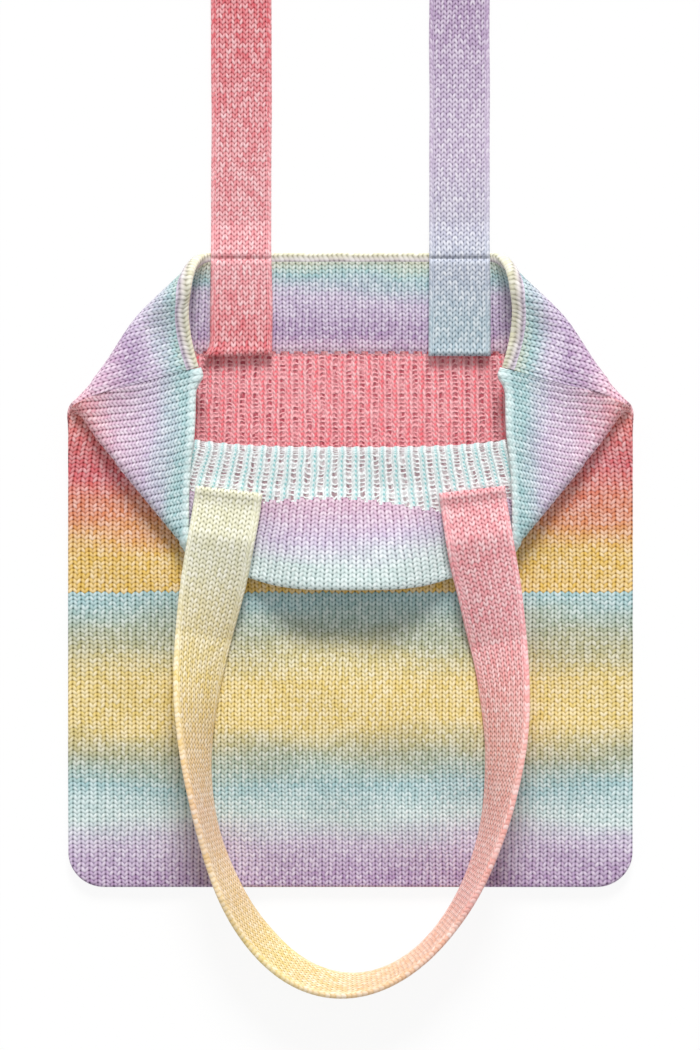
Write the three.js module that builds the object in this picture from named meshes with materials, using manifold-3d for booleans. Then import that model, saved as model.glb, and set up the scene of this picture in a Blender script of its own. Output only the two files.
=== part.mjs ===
// Knitted tote bag, laid on its back panel with the mouth folded open.
// Millimetres, +Z up. The floor is z = 0, the bag's bottom edge is towards -Y and its mouth towards +Y.
// Each panel is one knitted sheet: it is described flat, rolled over its creases, then given its thickness.
import * as THREE from "three";
import { mergeVertices } from "three/addons/utils/BufferGeometryUtils.js";
import Module from "manifold-3d";

const wasm = await Module();
wasm.setup();
const { clamp, degToRad, lerp, smoothstep } = THREE.MathUtils;

// Bag body
const BAG_WIDTH = 380;
const BAG_HEIGHT = 430;
const BOTTOM_CORNER_RADIUS = 17;
const FABRIC = 3;
const HEM_FABRIC = 4.5;
const HEM_DEPTH = 68;
const HEM_STEP_LENGTH = 8;
const CLEARANCE = 0.3;

// Mouth, folded open: the side folds start this far below the mouth
const SIDE_FOLD_DEPTH = 107;
const SIDE_FOLD_INSET = 2;
const BACK_FOLD_ANGLE = 54.5;
const BACK_FOLD_RADIUS = 6;
const BACK_FOLD_WIDEST_RADIUS = 14;
const BACK_FOLD_HANDLE_RADIUS = 5;
const BACK_FOLD_OPENING_START = 70;
const BACK_FOLD_OPENING_END = 125;
const BACK_FOLD_CLOSING_START = 128;
const BACK_FOLD_CLOSING_END = 150;
const BACK_FOLD_BOW = 1.8;
const BACK_FOLD_BOW_MIDDLE = 60;
const BACK_FOLD_BOW_REACH = 45;
const MOUTH_DROP_AT_SEAM = 18;
const MOUTH_DROP_LENGTH = 75;
const SEAM_EASE = 45;

// Front panel: its layer over the back, the ridge where it turns outward, and the flap that lies back on it
const FRONT_PUFF = 10;
const PUFF_FULLNESS = 4;
const BOTTOM_RISE_LENGTH = 90;
const MOUTH_RISE_LENGTH = 50;
const MOUTH_RISE_SHARE = 0.6;
const RIDGE_SAG = 30;
const RIDGE_FLATNESS = 3;
const RIDGE_RADIUS = 4;
const RIDGE_RADIUS_SIDE = 2.8;
const FLAP_DEPTH = 91.5;
const FLAP_LIP_RISE = 28;
const FLAP_LIP_REACH = 92;
const FLAP_LIP_FLATNESS = 3.6;
const FLAP_CORNER_RISE = 8.5;
const FLAP_CORNER_START = 105;
const FLAP_CORNER_END = 185;
const FLAP_LIP_SPREAD = 1.226;
const FRONT_FOLD_ANGLE = 50.7;
const FRONT_FOLD_RADIUS = 3;
const FRONT_FOLD_RADIUS_GROWTH = 0.008;
const FRONT_FOLD_TIP_RADIUS = 4;
const FRONT_FOLD_TIP_LENGTH = 20;

// Handles: flat knitted straps that turn up on their outer edge where they loop
const HANDLE_WIDTH = 41;
const HANDLE_THICKNESS = 4.5;
const HANDLE_FLARE = 0.1;
const FLARE_START_SHARE = 0.33;
const FRONT_FLARE_LENGTH = 130;
const BACK_FLARE_LENGTH = 75;
const HANDLE_TILT = 72;
const HANDLE_DRAPE_SLOPE = 0.22;
const FRONT_HANDLE_SPACING = 164;
const FRONT_LOOP_WIDTH = 210;
const FRONT_LOOP_SHOULDER = 105;
const FRONT_LOOP_OVERHANG = 66;
const FRONT_LOOP_SWAY = 7;
const LOOP_SWAY_WAVES = 3;
const FRONT_LOOP_LEAN = 10;
const LOOP_LEAN_CURVE = 3;
const BACK_HANDLE_SPACING = 148;
const BACK_LOOP_DEPTH = 74;
const TWIST_START_DEPTH = 5;
const TWIST_END_DEPTH = 250;
const BACK_TWIST_LENGTH = 148;

// Mesh density
const CENTRE_COLUMNS = 3;
const CENTRE_SHARE = 0.39;
const FOLDED_COLUMN_PITCH = 8;
const CORNER_COLUMNS = 4;
const BACK_LOWER_ROWS = 6;
const BACK_FOLDED_ROWS = 20;
const LAYER_ROWS = 9;
const LAYER_ROW_BIAS = 1.5;
const RIDGE_ROWS = 5;
const FLAP_ROWS = 15;
const BEND_ROW_DENSITY = 3;
const LEG_STEPS = 18;
const LOOP_STEPS = 14;
const STRAP_EDGE_STEPS = 3;
const FOOTPRINT_STEPS = 8;
const MERGE_DISTANCE = 0.001;

const halfWidth = BAG_WIDTH / 2;
const halfHeight = BAG_HEIGHT / 2;
const foldY = halfHeight - SIDE_FOLD_DEPTH;
const frontEdgeZ = FABRIC * 1.5 + CLEARANCE;

const knit = (name, colour) =>
  new THREE.MeshStandardMaterial({ name, color: colour, roughness: 0.9, metalness: 0 });

// Columns across a panel, from one side seam to the other. They are closest where the corners fold.
function columnStations() {
  const cornerStart = halfWidth - BOTTOM_CORNER_RADIUS;
  const foldedStart = halfWidth * CENTRE_SHARE;
  const foldedCount = Math.max(1, Math.round((cornerStart - foldedStart) / FOLDED_COLUMN_PITCH));
  const half = [];
  for (let i = 0; i < CENTRE_COLUMNS; i++) {
    half.push((foldedStart * (i + 0.5)) / (CENTRE_COLUMNS + 0.5));
  }
  for (let i = 0; i <= foldedCount; i++) {
    half.push(lerp(foldedStart, cornerStart, i / foldedCount));
  }
  for (let i = 1; i <= CORNER_COLUMNS; i++) {
    half.push(cornerStart + BOTTOM_CORNER_RADIUS * Math.sin((i / CORNER_COLUMNS) * (Math.PI / 2)));
  }
  return [...half.map((x) => -x).reverse(), ...half];
}

// Lower edge of both panels, with rounded corners
function bottomY(x) {
  const into = Math.max(0, Math.abs(x) - (halfWidth - BOTTOM_CORNER_RADIUS));
  return -halfHeight + BOTTOM_CORNER_RADIUS - Math.sqrt(Math.max(0, BOTTOM_CORNER_RADIUS ** 2 - into ** 2));
}

// Fabric thickness at a distance below the mouth edge: the hem is a double layer
function thicknessBelowMouth(depth) {
  return lerp(HEM_FABRIC, FABRIC, smoothstep(depth, HEM_DEPTH - HEM_STEP_LENGTH, HEM_DEPTH));
}

// A crease on the right-hand side, from the side fold point at an angle to the mouth, bowed a little outward
function sideCrease(angle, radiusAt, bowAt) {
  const turn = degToRad(angle);
  return {
    along: new THREE.Vector2(-Math.cos(turn), Math.sin(turn)),
    outward: new THREE.Vector2(Math.abs(Math.sin(turn)), Math.cos(turn) * Math.sign(turn)),
    radiusAt,
    bowAt,
  };
}
const foldPoint = new THREE.Vector2(halfWidth - SIDE_FOLD_INSET, foldY);
const backCrease = sideCrease(
  BACK_FOLD_ANGLE,
  (along) => {
    const opening = smoothstep(along, BACK_FOLD_OPENING_START, BACK_FOLD_OPENING_END);
    const closing = smoothstep(along, BACK_FOLD_CLOSING_START, BACK_FOLD_CLOSING_END);
    return lerp(lerp(BACK_FOLD_RADIUS, BACK_FOLD_WIDEST_RADIUS, opening), BACK_FOLD_HANDLE_RADIUS, closing);
  },
  (along) => {
    const fromMiddle = clamp(along, 0, BACK_FOLD_CLOSING_START) - BACK_FOLD_BOW_MIDDLE;
    return BACK_FOLD_BOW * (1 - (fromMiddle / BACK_FOLD_BOW_REACH) ** 2);
  },
);
const frontCrease = sideCrease(
  -FRONT_FOLD_ANGLE,
  (along) => {
    const tip = FRONT_FOLD_TIP_RADIUS * Math.exp(-((along / FRONT_FOLD_TIP_LENGTH) ** 2));
    return FRONT_FOLD_RADIUS + FRONT_FOLD_RADIUS_GROWTH * Math.max(0, along) + tip;
  },
  () => 0,
);

// Where a point lies beside a crease: its place along it, and how far it is beyond the start of the bend
function besideCrease(crease, point) {
  const from = point.clone().sub(foldPoint);
  const along = from.dot(crease.along);
  const radius = crease.radiusAt(along);
  const start = crease.bowAt(along) - (radius * Math.PI) / 2;
  return { along, radius, start, beyond: from.dot(crease.outward) - start };
}

// Rolls a point of a flat sheet over a crease: it climbs round a half circle, then runs back above itself
function rollOver(crease, point) {
  const { along, radius, start, beyond } = besideCrease(crease, point);
  if (beyond <= 0) return { plan: point, lift: 0, foot: point, beyond, radius };
  const turn = Math.min(beyond / radius, Math.PI);
  const offset = radius * Math.sin(turn) - Math.max(0, beyond - Math.PI * radius);
  const foot = foldPoint
    .clone()
    .addScaledVector(crease.along, along)
    .addScaledVector(crease.outward, start);
  const plan = foot.clone().addScaledVector(crease.outward, offset);
  return { plan, lift: radius * (1 - Math.cos(turn)), foot, beyond, radius };
}

// Back panel on its right half, before the seam is closed
function mouthY(x) {
  return halfHeight - MOUTH_DROP_AT_SEAM * smoothstep(x, halfWidth - MOUTH_DROP_LENGTH, halfWidth);
}
function backSheet(x, y) {
  const rolled = rollOver(backCrease, new THREE.Vector2(x, y));
  const thickness = thicknessBelowMouth(mouthY(x) - y);
  return new THREE.Vector3(rolled.plan.x, rolled.plan.y, thickness / 2 + rolled.lift);
}

// Middle of the front layer above the floor: it swells over the inside and opens towards the ridge
function frontLayerZ(x, y) {
  const across = 1 - Math.min(1, Math.abs(x) / halfWidth) ** PUFF_FULLNESS;
  const rise = smoothstep(y, -halfHeight, -halfHeight + BOTTOM_RISE_LENGTH);
  const open = MOUTH_RISE_SHARE * smoothstep(y, foldY - MOUTH_RISE_LENGTH, foldY);
  return frontEdgeZ + FRONT_PUFF * rise * lerp(across, 1, open);
}
function ridgeY(x) {
  return foldY - RIDGE_SAG * (1 - (x / halfWidth) ** RIDGE_FLATNESS);
}
function ridgeRadius(x) {
  return lerp(RIDGE_RADIUS, RIDGE_RADIUS_SIDE, Math.min(1, Math.abs(x) / halfWidth) ** 2);
}
function flapZ(x, y) {
  return frontLayerZ(x, y) + 2 * ridgeRadius(x);
}
// Mouth edge of the flap before its corners are folded: it sags in the middle and climbs towards the seams
function flapLip(x) {
  const lipX = x * FLAP_LIP_SPREAD;
  const rise = FLAP_LIP_RISE * (1 - Math.exp(-((lipX / FLAP_LIP_REACH) ** FLAP_LIP_FLATNESS)));
  const corner = FLAP_CORNER_RISE * smoothstep(lipX, FLAP_CORNER_START, FLAP_CORNER_END);
  return new THREE.Vector2(lipX, ridgeY(0) - FLAP_DEPTH + rise + corner);
}
// Flap before its corners are folded, from the ridge at share 0 to the mouth edge at share 1
function flatFlap(x, share) {
  return new THREE.Vector2(x, ridgeY(x)).lerp(flapLip(x), share);
}
function flapSheet(x, share) {
  const rolled = rollOver(frontCrease, flatFlap(x, share));
  return new THREE.Vector3(rolled.plan.x, rolled.plan.y, flapZ(rolled.foot.x, rolled.foot.y) + rolled.lift);
}
// Shares of the flap's rows in one column, closer together where the column bends over the crease
function flapShares(x) {
  const start = rollOver(frontCrease, flatFlap(x, 0)).beyond;
  const end = rollOver(frontCrease, flatFlap(x, 1));
  const bendStart = clamp(-start / (end.beyond - start), 0, 1);
  const bendEnd = clamp((Math.PI * end.radius - start) / (end.beyond - start), 0, 1);
  const bend = bendEnd > bendStart ? bendEnd - bendStart : 0;
  const total = 1 + bend * (BEND_ROW_DENSITY - 1);
  return Array.from({ length: FLAP_ROWS + 1 }, (_, i) => {
    const spent = (total * i) / FLAP_ROWS;
    if (spent <= bendStart) return spent;
    const inBend = Math.min((spent - bendStart) / BEND_ROW_DENSITY, bend);
    return bendStart + inBend + Math.max(0, spent - bendStart - bend * BEND_ROW_DENSITY);
  });
}
// Point of the ridge's half circle, from the front layer at share 0 to the flap at share 1
function ridgeSheet(x, share) {
  const steepness = (RIDGE_FLATNESS * RIDGE_SAG) / halfWidth;
  const slope = Math.atan(steepness * (x / halfWidth) ** (RIDGE_FLATNESS - 1));
  const turn = Math.PI * share;
  const radius = ridgeRadius(x);
  const out = radius * Math.sin(turn);
  const flat = new THREE.Vector2(x - out * Math.sin(slope), ridgeY(x) + out * Math.cos(slope));
  const base = frontLayerZ(x, ridgeY(x)) + radius * (1 - Math.cos(turn));
  const rolled = rollOver(frontCrease, flat);
  const fold = smoothstep(share, 0, 1);
  const plan = flat.clone().lerp(rolled.plan, fold);
  return new THREE.Vector3(plan.x, plan.y, base + rolled.lift * fold);
}
function layerSheet(x, y) {
  return new THREE.Vector3(x, y, frontLayerZ(x, y));
}

// Above the side fold point both panels end on one seam, halfway between their own edges
const ridgeSeamShare = 1 / (1 + SIDE_FOLD_DEPTH / (Math.PI * RIDGE_RADIUS_SIDE));
function backSeam(share) {
  return backSheet(halfWidth, lerp(foldY, mouthY(halfWidth), share));
}
function frontSeam(share) {
  if (share < ridgeSeamShare) return ridgeSheet(halfWidth, share / ridgeSeamShare);
  return flapSheet(halfWidth, (share - ridgeSeamShare) / (1 - ridgeSeamShare));
}
function closeSeam(point, x, share, ownSeam, otherSeam, fade) {
  const near = 1 - smoothstep(halfWidth - x, 0, SEAM_EASE);
  const pull = otherSeam(share).sub(ownSeam(share));
  return point.addScaledVector(pull, 0.5 * near * fade);
}

// Mirrors a point of the right half to the side that it belongs to
function onSide(point, x) {
  if (x < 0) point.x = -point.x;
  return point;
}

// Rows of points of the back panel, from its bottom edge to the mouth, each with its thickness
function backGrid() {
  const foldedStart = foldY - SEAM_EASE;
  const rows = [];
  const addRow = (heightAt) => {
    rows.push(
      columnStations().map((station) => {
        const x = Math.abs(station);
        const y = heightAt(x);
        const point = backSheet(x, y);
        const share = clamp((y - foldY) / (mouthY(halfWidth) - foldY), 0, 1);
        const fade = smoothstep(y, foldY - SEAM_EASE / 2, foldY);
        const thickness = thicknessBelowMouth(mouthY(x) - y);
        closeSeam(point, x, share, backSeam, frontSeam, fade);
        point.z = Math.max(point.z, thickness / 2);
        return { point: onSide(point, station), thickness };
      }),
    );
  };
  for (let i = 0; i < BACK_LOWER_ROWS; i++) {
    addRow((x) => lerp(bottomY(x), foldedStart, i / BACK_LOWER_ROWS));
  }
  for (let i = 0; i <= BACK_FOLDED_ROWS; i++) {
    addRow((x) => lerp(foldedStart, mouthY(x), i / BACK_FOLDED_ROWS));
  }
  return rows;
}

// One column of the front panel: its layer from the bottom edge up, the ridge, then the flap to the mouth
function frontColumn(station) {
  const x = Math.abs(station);
  const column = [];
  const add = (point, seamShare, fade, thickness) => {
    closeSeam(point, x, seamShare, frontSeam, backSeam, fade);
    column.push({ point: onSide(point, station), thickness });
  };
  for (let i = 0; i < LAYER_ROWS; i++) {
    const share = 1 - (1 - i / LAYER_ROWS) ** LAYER_ROW_BIAS;
    const y = lerp(bottomY(x), ridgeY(x), share);
    add(layerSheet(x, y), 0, smoothstep(y, foldY - SEAM_EASE / 2, foldY), FABRIC);
  }
  for (let i = 0; i < RIDGE_ROWS; i++) {
    const share = i / RIDGE_ROWS;
    add(ridgeSheet(x, share), share * ridgeSeamShare, 1, FABRIC);
  }
  for (const share of flapShares(x)) {
    const seamShare = lerp(ridgeSeamShare, 1, share);
    add(flapSheet(x, share), seamShare, 1, thicknessBelowMouth((1 - share) * FLAP_DEPTH));
  }
  return column;
}
function frontGrid() {
  const columns = columnStations().map(frontColumn);
  return columns[0].map((_, row) => columns.map((column) => column[row]));
}

// Closed solid of a sheet: its grid of middle points moved half a thickness both ways
function sheetSolid(rows, allowance = 0) {
  const rowCount = rows.length;
  const columnCount = rows[0].length;
  const at = (r, c) => rows[clamp(r, 0, rowCount - 1)][clamp(c, 0, columnCount - 1)].point;
  const positions = [];
  for (const side of [1, -1]) {
    for (let r = 0; r < rowCount; r++) {
      for (let c = 0; c < columnCount; c++) {
        const across = at(r, c + 1).clone().sub(at(r, c - 1));
        const along = at(r + 1, c).clone().sub(at(r - 1, c));
        const normal = across.cross(along).normalize();
        const reach = side * (rows[r][c].thickness / 2 + allowance);
        positions.push(...rows[r][c].point.clone().addScaledVector(normal, reach).toArray());
      }
    }
  }
  const index = [];
  const top = (r, c) => r * columnCount + c;
  const under = (r, c) => rowCount * columnCount + top(r, c);
  const quad = (a, b, c, d) => index.push(a, b, c, a, c, d);
  // Each quad is split along the creases, which lean towards the middle on both halves
  for (let r = 0; r + 1 < rowCount; r++) {
    for (let c = 0; c + 1 < columnCount; c++) {
      if (c < (columnCount - 1) / 2) {
        quad(top(r, c), top(r, c + 1), top(r + 1, c + 1), top(r + 1, c));
        quad(under(r, c), under(r + 1, c), under(r + 1, c + 1), under(r, c + 1));
      } else {
        quad(top(r, c + 1), top(r + 1, c + 1), top(r + 1, c), top(r, c));
        quad(under(r + 1, c), under(r + 1, c + 1), under(r, c + 1), under(r, c));
      }
    }
  }
  const last = columnCount - 1;
  for (let r = 0; r + 1 < rowCount; r++) {
    quad(top(r, 0), top(r + 1, 0), under(r + 1, 0), under(r, 0));
    quad(top(r, last), under(r, last), under(r + 1, last), top(r + 1, last));
  }
  const end = rowCount - 1;
  for (let c = 0; c + 1 < columnCount; c++) {
    quad(top(0, c), under(0, c), under(0, c + 1), top(0, c + 1));
    quad(top(end, c), top(end, c + 1), under(end, c + 1), under(end, c));
  }
  const geometry = new THREE.BufferGeometry();
  geometry.setAttribute("position", new THREE.Float32BufferAttribute(positions, 3));
  geometry.setIndex(index);
  return geometry;
}

// One geometry with the room of another cut away
function cutAway(geometry, room) {
  const solidOf = (shape) => {
    const merged = mergeVertices(shape, MERGE_DISTANCE);
    const vertProperties = new Float32Array(merged.attributes.position.array);
    const triVerts = new Uint32Array(merged.index.array);
    return new wasm.Manifold(new wasm.Mesh({ numProp: 3, vertProperties, triVerts }));
  };
  const bodies = solidOf(geometry).subtract(solidOf(room)).decompose();
  const largest = bodies.reduce((best, body) => (body.volume() > best.volume() ? body : best));
  const mesh = largest.getMesh();
  const cut = new THREE.BufferGeometry();
  cut.setAttribute("position", new THREE.BufferAttribute(mesh.vertProperties, 3));
  cut.setIndex(new THREE.BufferAttribute(mesh.triVerts, 1));
  return cut;
}

// Stops of a strap's route in plan, from its left end round the loop to its right end.
// A loop laid by hand leans to the left, and its two legs turn up by different amounts, which is its sway.
function wholeRoute(half, flareLength) {
  const onLeg = (side) => (stop) => ({
    plan: new THREE.Vector2(side * stop.plan.x - stop.lean, stop.plan.y),
    tilt: stop.tilt - side * stop.sway,
  });
  const stops = [...half.map(onLeg(-1)), ...half.slice(0, -1).map(onLeg(1)).reverse()];
  const run = runLengths(stops.map((stop) => stop.plan));
  return stops.map((stop, i) => {
    const fromEnd = Math.min(run[i], run.at(-1) - run[i]);
    const flare = HANDLE_FLARE * (1 - smoothstep(fromEnd, flareLength * FLARE_START_SHARE, flareLength));
    return { ...stop, width: HANDLE_WIDTH * (1 + flare) };
  });
}
// Quarter of an elliptic loop, from its shoulder to its far end, without the shoulder itself
const loopTurns = Array.from({ length: LOOP_STEPS }, (_, i) => ((i + 1) / LOOP_STEPS) * (Math.PI / 2));
function loopQuarter(width, shoulderY, depth) {
  return loopTurns.map(
    (turn) => new THREE.Vector2((width / 2) * Math.cos(turn), shoulderY + depth * Math.sin(turn)),
  );
}

const sewnEndY = flatFlap(0, 1 - HEM_DEPTH / FLAP_DEPTH).y;
function frontHandleRoute() {
  const shoulderY = -FRONT_LOOP_SHOULDER;
  const depth = FRONT_LOOP_SHOULDER - halfHeight - FRONT_LOOP_OVERHANG;
  const stopAt = (plan, swayShare) => {
    const twist = smoothstep(sewnEndY - plan.y, TWIST_START_DEPTH, TWIST_END_DEPTH);
    return {
      plan,
      tilt: degToRad(HANDLE_TILT) * twist,
      sway: degToRad(FRONT_LOOP_SWAY) * twist * swayShare,
      lean: FRONT_LOOP_LEAN * Math.max(0, (plan.y - shoulderY) / depth) ** LOOP_LEAN_CURVE,
    };
  };
  const half = [];
  for (let i = 0; i <= LEG_STEPS; i++) {
    const share = i / LEG_STEPS;
    const swing = (smoothstep(share, 0, 1) + Math.sin((share * Math.PI) / 2)) / 2;
    const x = lerp(FRONT_HANDLE_SPACING, FRONT_LOOP_WIDTH, swing) / 2;
    half.push(stopAt(new THREE.Vector2(x, lerp(sewnEndY, shoulderY, share)), 1));
  }
  loopQuarter(FRONT_LOOP_WIDTH, shoulderY, depth).forEach((plan, i) => {
    half.push(stopAt(plan, Math.cos(LOOP_SWAY_WAVES * loopTurns[i])));
  });
  return wholeRoute(half, FRONT_FLARE_LENGTH);
}
// Both handles are cut to one length: the back one's legs take what its loop leaves
function backHandleRoute() {
  const halfLength = runLengths(frontHandleRoute().map((stop) => stop.plan)).at(-1) / 2;
  const shoulder = new THREE.Vector2(BACK_HANDLE_SPACING / 2, 0);
  const loop = [shoulder, ...loopQuarter(BACK_HANDLE_SPACING, 0, BACK_LOOP_DEPTH)];
  const legLength = halfLength - runLengths(loop).at(-1);
  const sewnY = halfHeight - HEM_DEPTH;
  const places = [];
  for (let i = 0; i < LEG_STEPS; i++) {
    places.push(new THREE.Vector2(shoulder.x, sewnY + (legLength * i) / LEG_STEPS));
  }
  for (const place of loop) {
    places.push(new THREE.Vector2(place.x, sewnY + legLength + place.y));
  }
  const run = runLengths(places);
  const half = places.map((plan, i) => ({
    plan,
    tilt: degToRad(HANDLE_TILT) * smoothstep(run[i], halfLength - BACK_TWIST_LENGTH, halfLength),
    sway: 0,
    lean: 0,
  }));
  return wholeRoute(half, BACK_FLARE_LENGTH);
}
function runLengths(places) {
  const run = [0];
  for (let i = 1; i < places.length; i++) {
    run.push(run[i - 1] + places[i].distanceTo(places[i - 1]));
  }
  return run;
}

// Top of whatever lies under a point of the front handle: cheek, flap, front layer or floor
function frontTop(x, y) {
  const plan = new THREE.Vector2(Math.abs(x), y);
  const lipY = (px) => flapLip(px / FLAP_LIP_SPREAD).y;
  const inside = plan.clone().sub(foldPoint).dot(frontCrease.outward);
  const unfolded = plan.clone().addScaledVector(frontCrease.outward, -2 * inside);
  if (inside < 0 && unfolded.y > lipY(unfolded.x)) {
    const rolled = rollOver(frontCrease, unfolded);
    return flapZ(rolled.foot.x, rolled.foot.y) + rolled.lift + HEM_FABRIC / 2;
  }
  if (y > lipY(plan.x)) return flapZ(plan.x, y) + HEM_FABRIC / 2;
  if (y > -halfHeight) return frontLayerZ(plan.x, y) + FABRIC / 2;
  return -CLEARANCE;
}
// Top of whatever lies under a point of the back handle: the hem, which curls up at its ends, or the floor
function backTop(x, y) {
  if (y >= halfHeight) return -CLEARANCE;
  const { radius, beyond } = besideCrease(backCrease, new THREE.Vector2(Math.abs(x), y));
  const hollow = radius - HEM_FABRIC / 2;
  if (beyond > hollow) return 2 * radius + HEM_FABRIC;
  return HEM_FABRIC / 2 + radius - Math.sqrt(hollow ** 2 - Math.max(0, beyond) ** 2);
}

// Lowest line of a strap at each stop: it rests on what is under it and bridges steps at a gentle slope
function restingHeights(stops, outwards, topAt) {
  const contact = stops.map((stop, i) => {
    let height = -Infinity;
    for (let j = 0; j <= FOOTPRINT_STEPS; j++) {
      const reach = stop.width * (j / FOOTPRINT_STEPS);
      const offset = (reach - stop.width / 2) * Math.cos(stop.tilt);
      const under = stop.plan.clone().addScaledVector(outwards[i], offset);
      height = Math.max(height, topAt(under.x, under.y) + CLEARANCE - reach * Math.sin(stop.tilt));
    }
    return height;
  });
  const held = contact.map((_, i) => Math.max(...contact.slice(Math.max(0, i - 1), i + 2)));
  const run = runLengths(stops.map((stop) => stop.plan));
  return held.map((_, i) =>
    Math.max(...held.map((height, j) => height - HANDLE_DRAPE_SLOPE * Math.abs(run[i] - run[j]))),
  );
}

// Outline of a strap across its width, with rounded edges: first across the width, then through it
function strapSection(width) {
  const edge = HANDLE_THICKNESS / 2;
  const straight = width / 2 - edge;
  const section = [];
  for (const side of [1, -1]) {
    for (let i = 0; i <= STRAP_EDGE_STEPS; i++) {
      const turn = (i / STRAP_EDGE_STEPS - 0.5) * Math.PI;
      section.push(
        new THREE.Vector2(side * (straight + edge * Math.cos(turn)), side * edge * Math.sin(turn)),
      );
    }
  }
  return section;
}

// Closed solid of a strap along its route. loopSide is 1 for a loop towards +Y, -1 for a loop towards -Y.
function strapSolid(stops, loopSide, topAt) {
  const last = stops.length - 1;
  const headings = stops.map((_, i) => {
    const before = stops[Math.max(0, i - 1)].plan;
    const after = stops[Math.min(last, i + 1)].plan;
    return after.clone().sub(before).normalize();
  });
  const outwards = headings.map(({ x, y }) => new THREE.Vector2(-y, x).multiplyScalar(loopSide));
  const rest = restingHeights(stops, outwards, topAt);
  const edge = HANDLE_THICKNESS / 2;
  const sections = stops.map((stop) => strapSection(stop.width));
  const positions = [];
  stops.forEach((stop, i) => {
    const height = rest[i] + (stop.width / 2 - edge) * Math.sin(stop.tilt) + edge;
    const centre = new THREE.Vector3(stop.plan.x, stop.plan.y, height);
    const outward = new THREE.Vector3(outwards[i].x, outwards[i].y, 0);
    const up = new THREE.Vector3(0, 0, 1);
    const cos = Math.cos(stop.tilt);
    const sin = Math.sin(stop.tilt);
    const width = outward.clone().multiplyScalar(cos).addScaledVector(up, sin);
    const through = up.clone().multiplyScalar(cos).addScaledVector(outward, -sin);
    for (const { x, y } of sections[i]) {
      positions.push(...centre.clone().addScaledVector(width, x).addScaledVector(through, y).toArray());
    }
  });
  const count = sections[0].length;
  const index = [];
  const triangle = (a, b, c) => (loopSide > 0 ? index.push(a, b, c) : index.push(a, c, b));
  for (let i = 0; i < last; i++) {
    for (let j = 0; j < count; j++) {
      const a = i * count + j;
      const b = i * count + ((j + 1) % count);
      triangle(a, b, b + count);
      triangle(a, b + count, a + count);
    }
  }
  for (let j = 1; j + 1 < count; j++) {
    triangle(0, j + 1, j);
    triangle(last * count, last * count + j, last * count + j + 1);
  }
  const geometry = new THREE.BufferGeometry();
  geometry.setAttribute("position", new THREE.Float32BufferAttribute(positions, 3));
  geometry.setIndex(index);
  return geometry;
}

const bag = new THREE.Group();
bag.name = "knitted_tote_bag";

const backRows = backGrid();
const backPanel = new THREE.Mesh(sheetSolid(backRows), knit("back_panel_knit", "#cdbfd2"));
backPanel.name = "back_panel";
bag.add(backPanel);

const backRoom = sheetSolid(backRows, CLEARANCE);
const frontPanel = new THREE.Mesh(
  cutAway(sheetSolid(frontGrid()), backRoom),
  knit("front_panel_knit", "#d9d2b4"),
);
frontPanel.name = "front_panel";
bag.add(frontPanel);

const frontHandle = new THREE.Mesh(
  strapSolid(frontHandleRoute(), -1, frontTop),
  knit("front_handle_knit", "#f3cda0"),
);
frontHandle.name = "front_handle";
bag.add(frontHandle);

const backHandle = new THREE.Mesh(
  strapSolid(backHandleRoute(), 1, backTop),
  knit("back_handle_knit", "#dd97a4"),
);
backHandle.name = "back_handle";
bag.add(backHandle);

export default bag;
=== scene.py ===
"""Knitted tote bag, laid on its back panel with the mouth folded open.

Sizes are in millimetres, as on a knitter's sheet, and become metres when a mesh is made. Each panel and each
strap is a sheet of rows and columns: its columns follow the wales, the upright rows of stitches, and its rows
the courses. Along a panel, heights run from its bottom edge at 0 to its mouth at 430.
"""

import math

import bpy
import numpy as np
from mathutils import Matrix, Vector


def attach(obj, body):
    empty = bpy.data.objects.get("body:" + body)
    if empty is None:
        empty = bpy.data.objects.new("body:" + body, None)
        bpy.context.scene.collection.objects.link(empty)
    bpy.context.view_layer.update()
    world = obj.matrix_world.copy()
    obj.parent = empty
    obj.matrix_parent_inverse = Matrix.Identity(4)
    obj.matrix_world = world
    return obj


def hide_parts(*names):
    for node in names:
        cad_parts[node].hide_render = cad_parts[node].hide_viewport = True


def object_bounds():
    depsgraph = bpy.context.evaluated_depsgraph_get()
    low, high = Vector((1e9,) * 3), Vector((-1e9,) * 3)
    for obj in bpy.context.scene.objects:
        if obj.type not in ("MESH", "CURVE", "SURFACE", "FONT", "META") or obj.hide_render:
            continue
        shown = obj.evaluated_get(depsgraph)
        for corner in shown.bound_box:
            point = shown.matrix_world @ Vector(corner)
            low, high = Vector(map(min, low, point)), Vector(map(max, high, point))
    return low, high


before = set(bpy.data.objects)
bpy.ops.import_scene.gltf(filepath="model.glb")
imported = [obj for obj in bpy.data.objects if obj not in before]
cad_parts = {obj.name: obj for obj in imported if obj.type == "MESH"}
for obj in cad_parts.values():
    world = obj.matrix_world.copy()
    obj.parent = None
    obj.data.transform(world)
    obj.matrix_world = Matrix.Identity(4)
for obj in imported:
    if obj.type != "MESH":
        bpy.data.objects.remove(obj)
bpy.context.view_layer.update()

MM = 0.001

# Bag body
BAG_WIDTH = 380
BAG_HEIGHT = 430
CORNER_RADIUS = 24
FABRIC = 3
HEM_FABRIC = 4.5
HEM_DEPTH = 68
HEM_STEP = 3
CLEARANCE = 0.3

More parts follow.
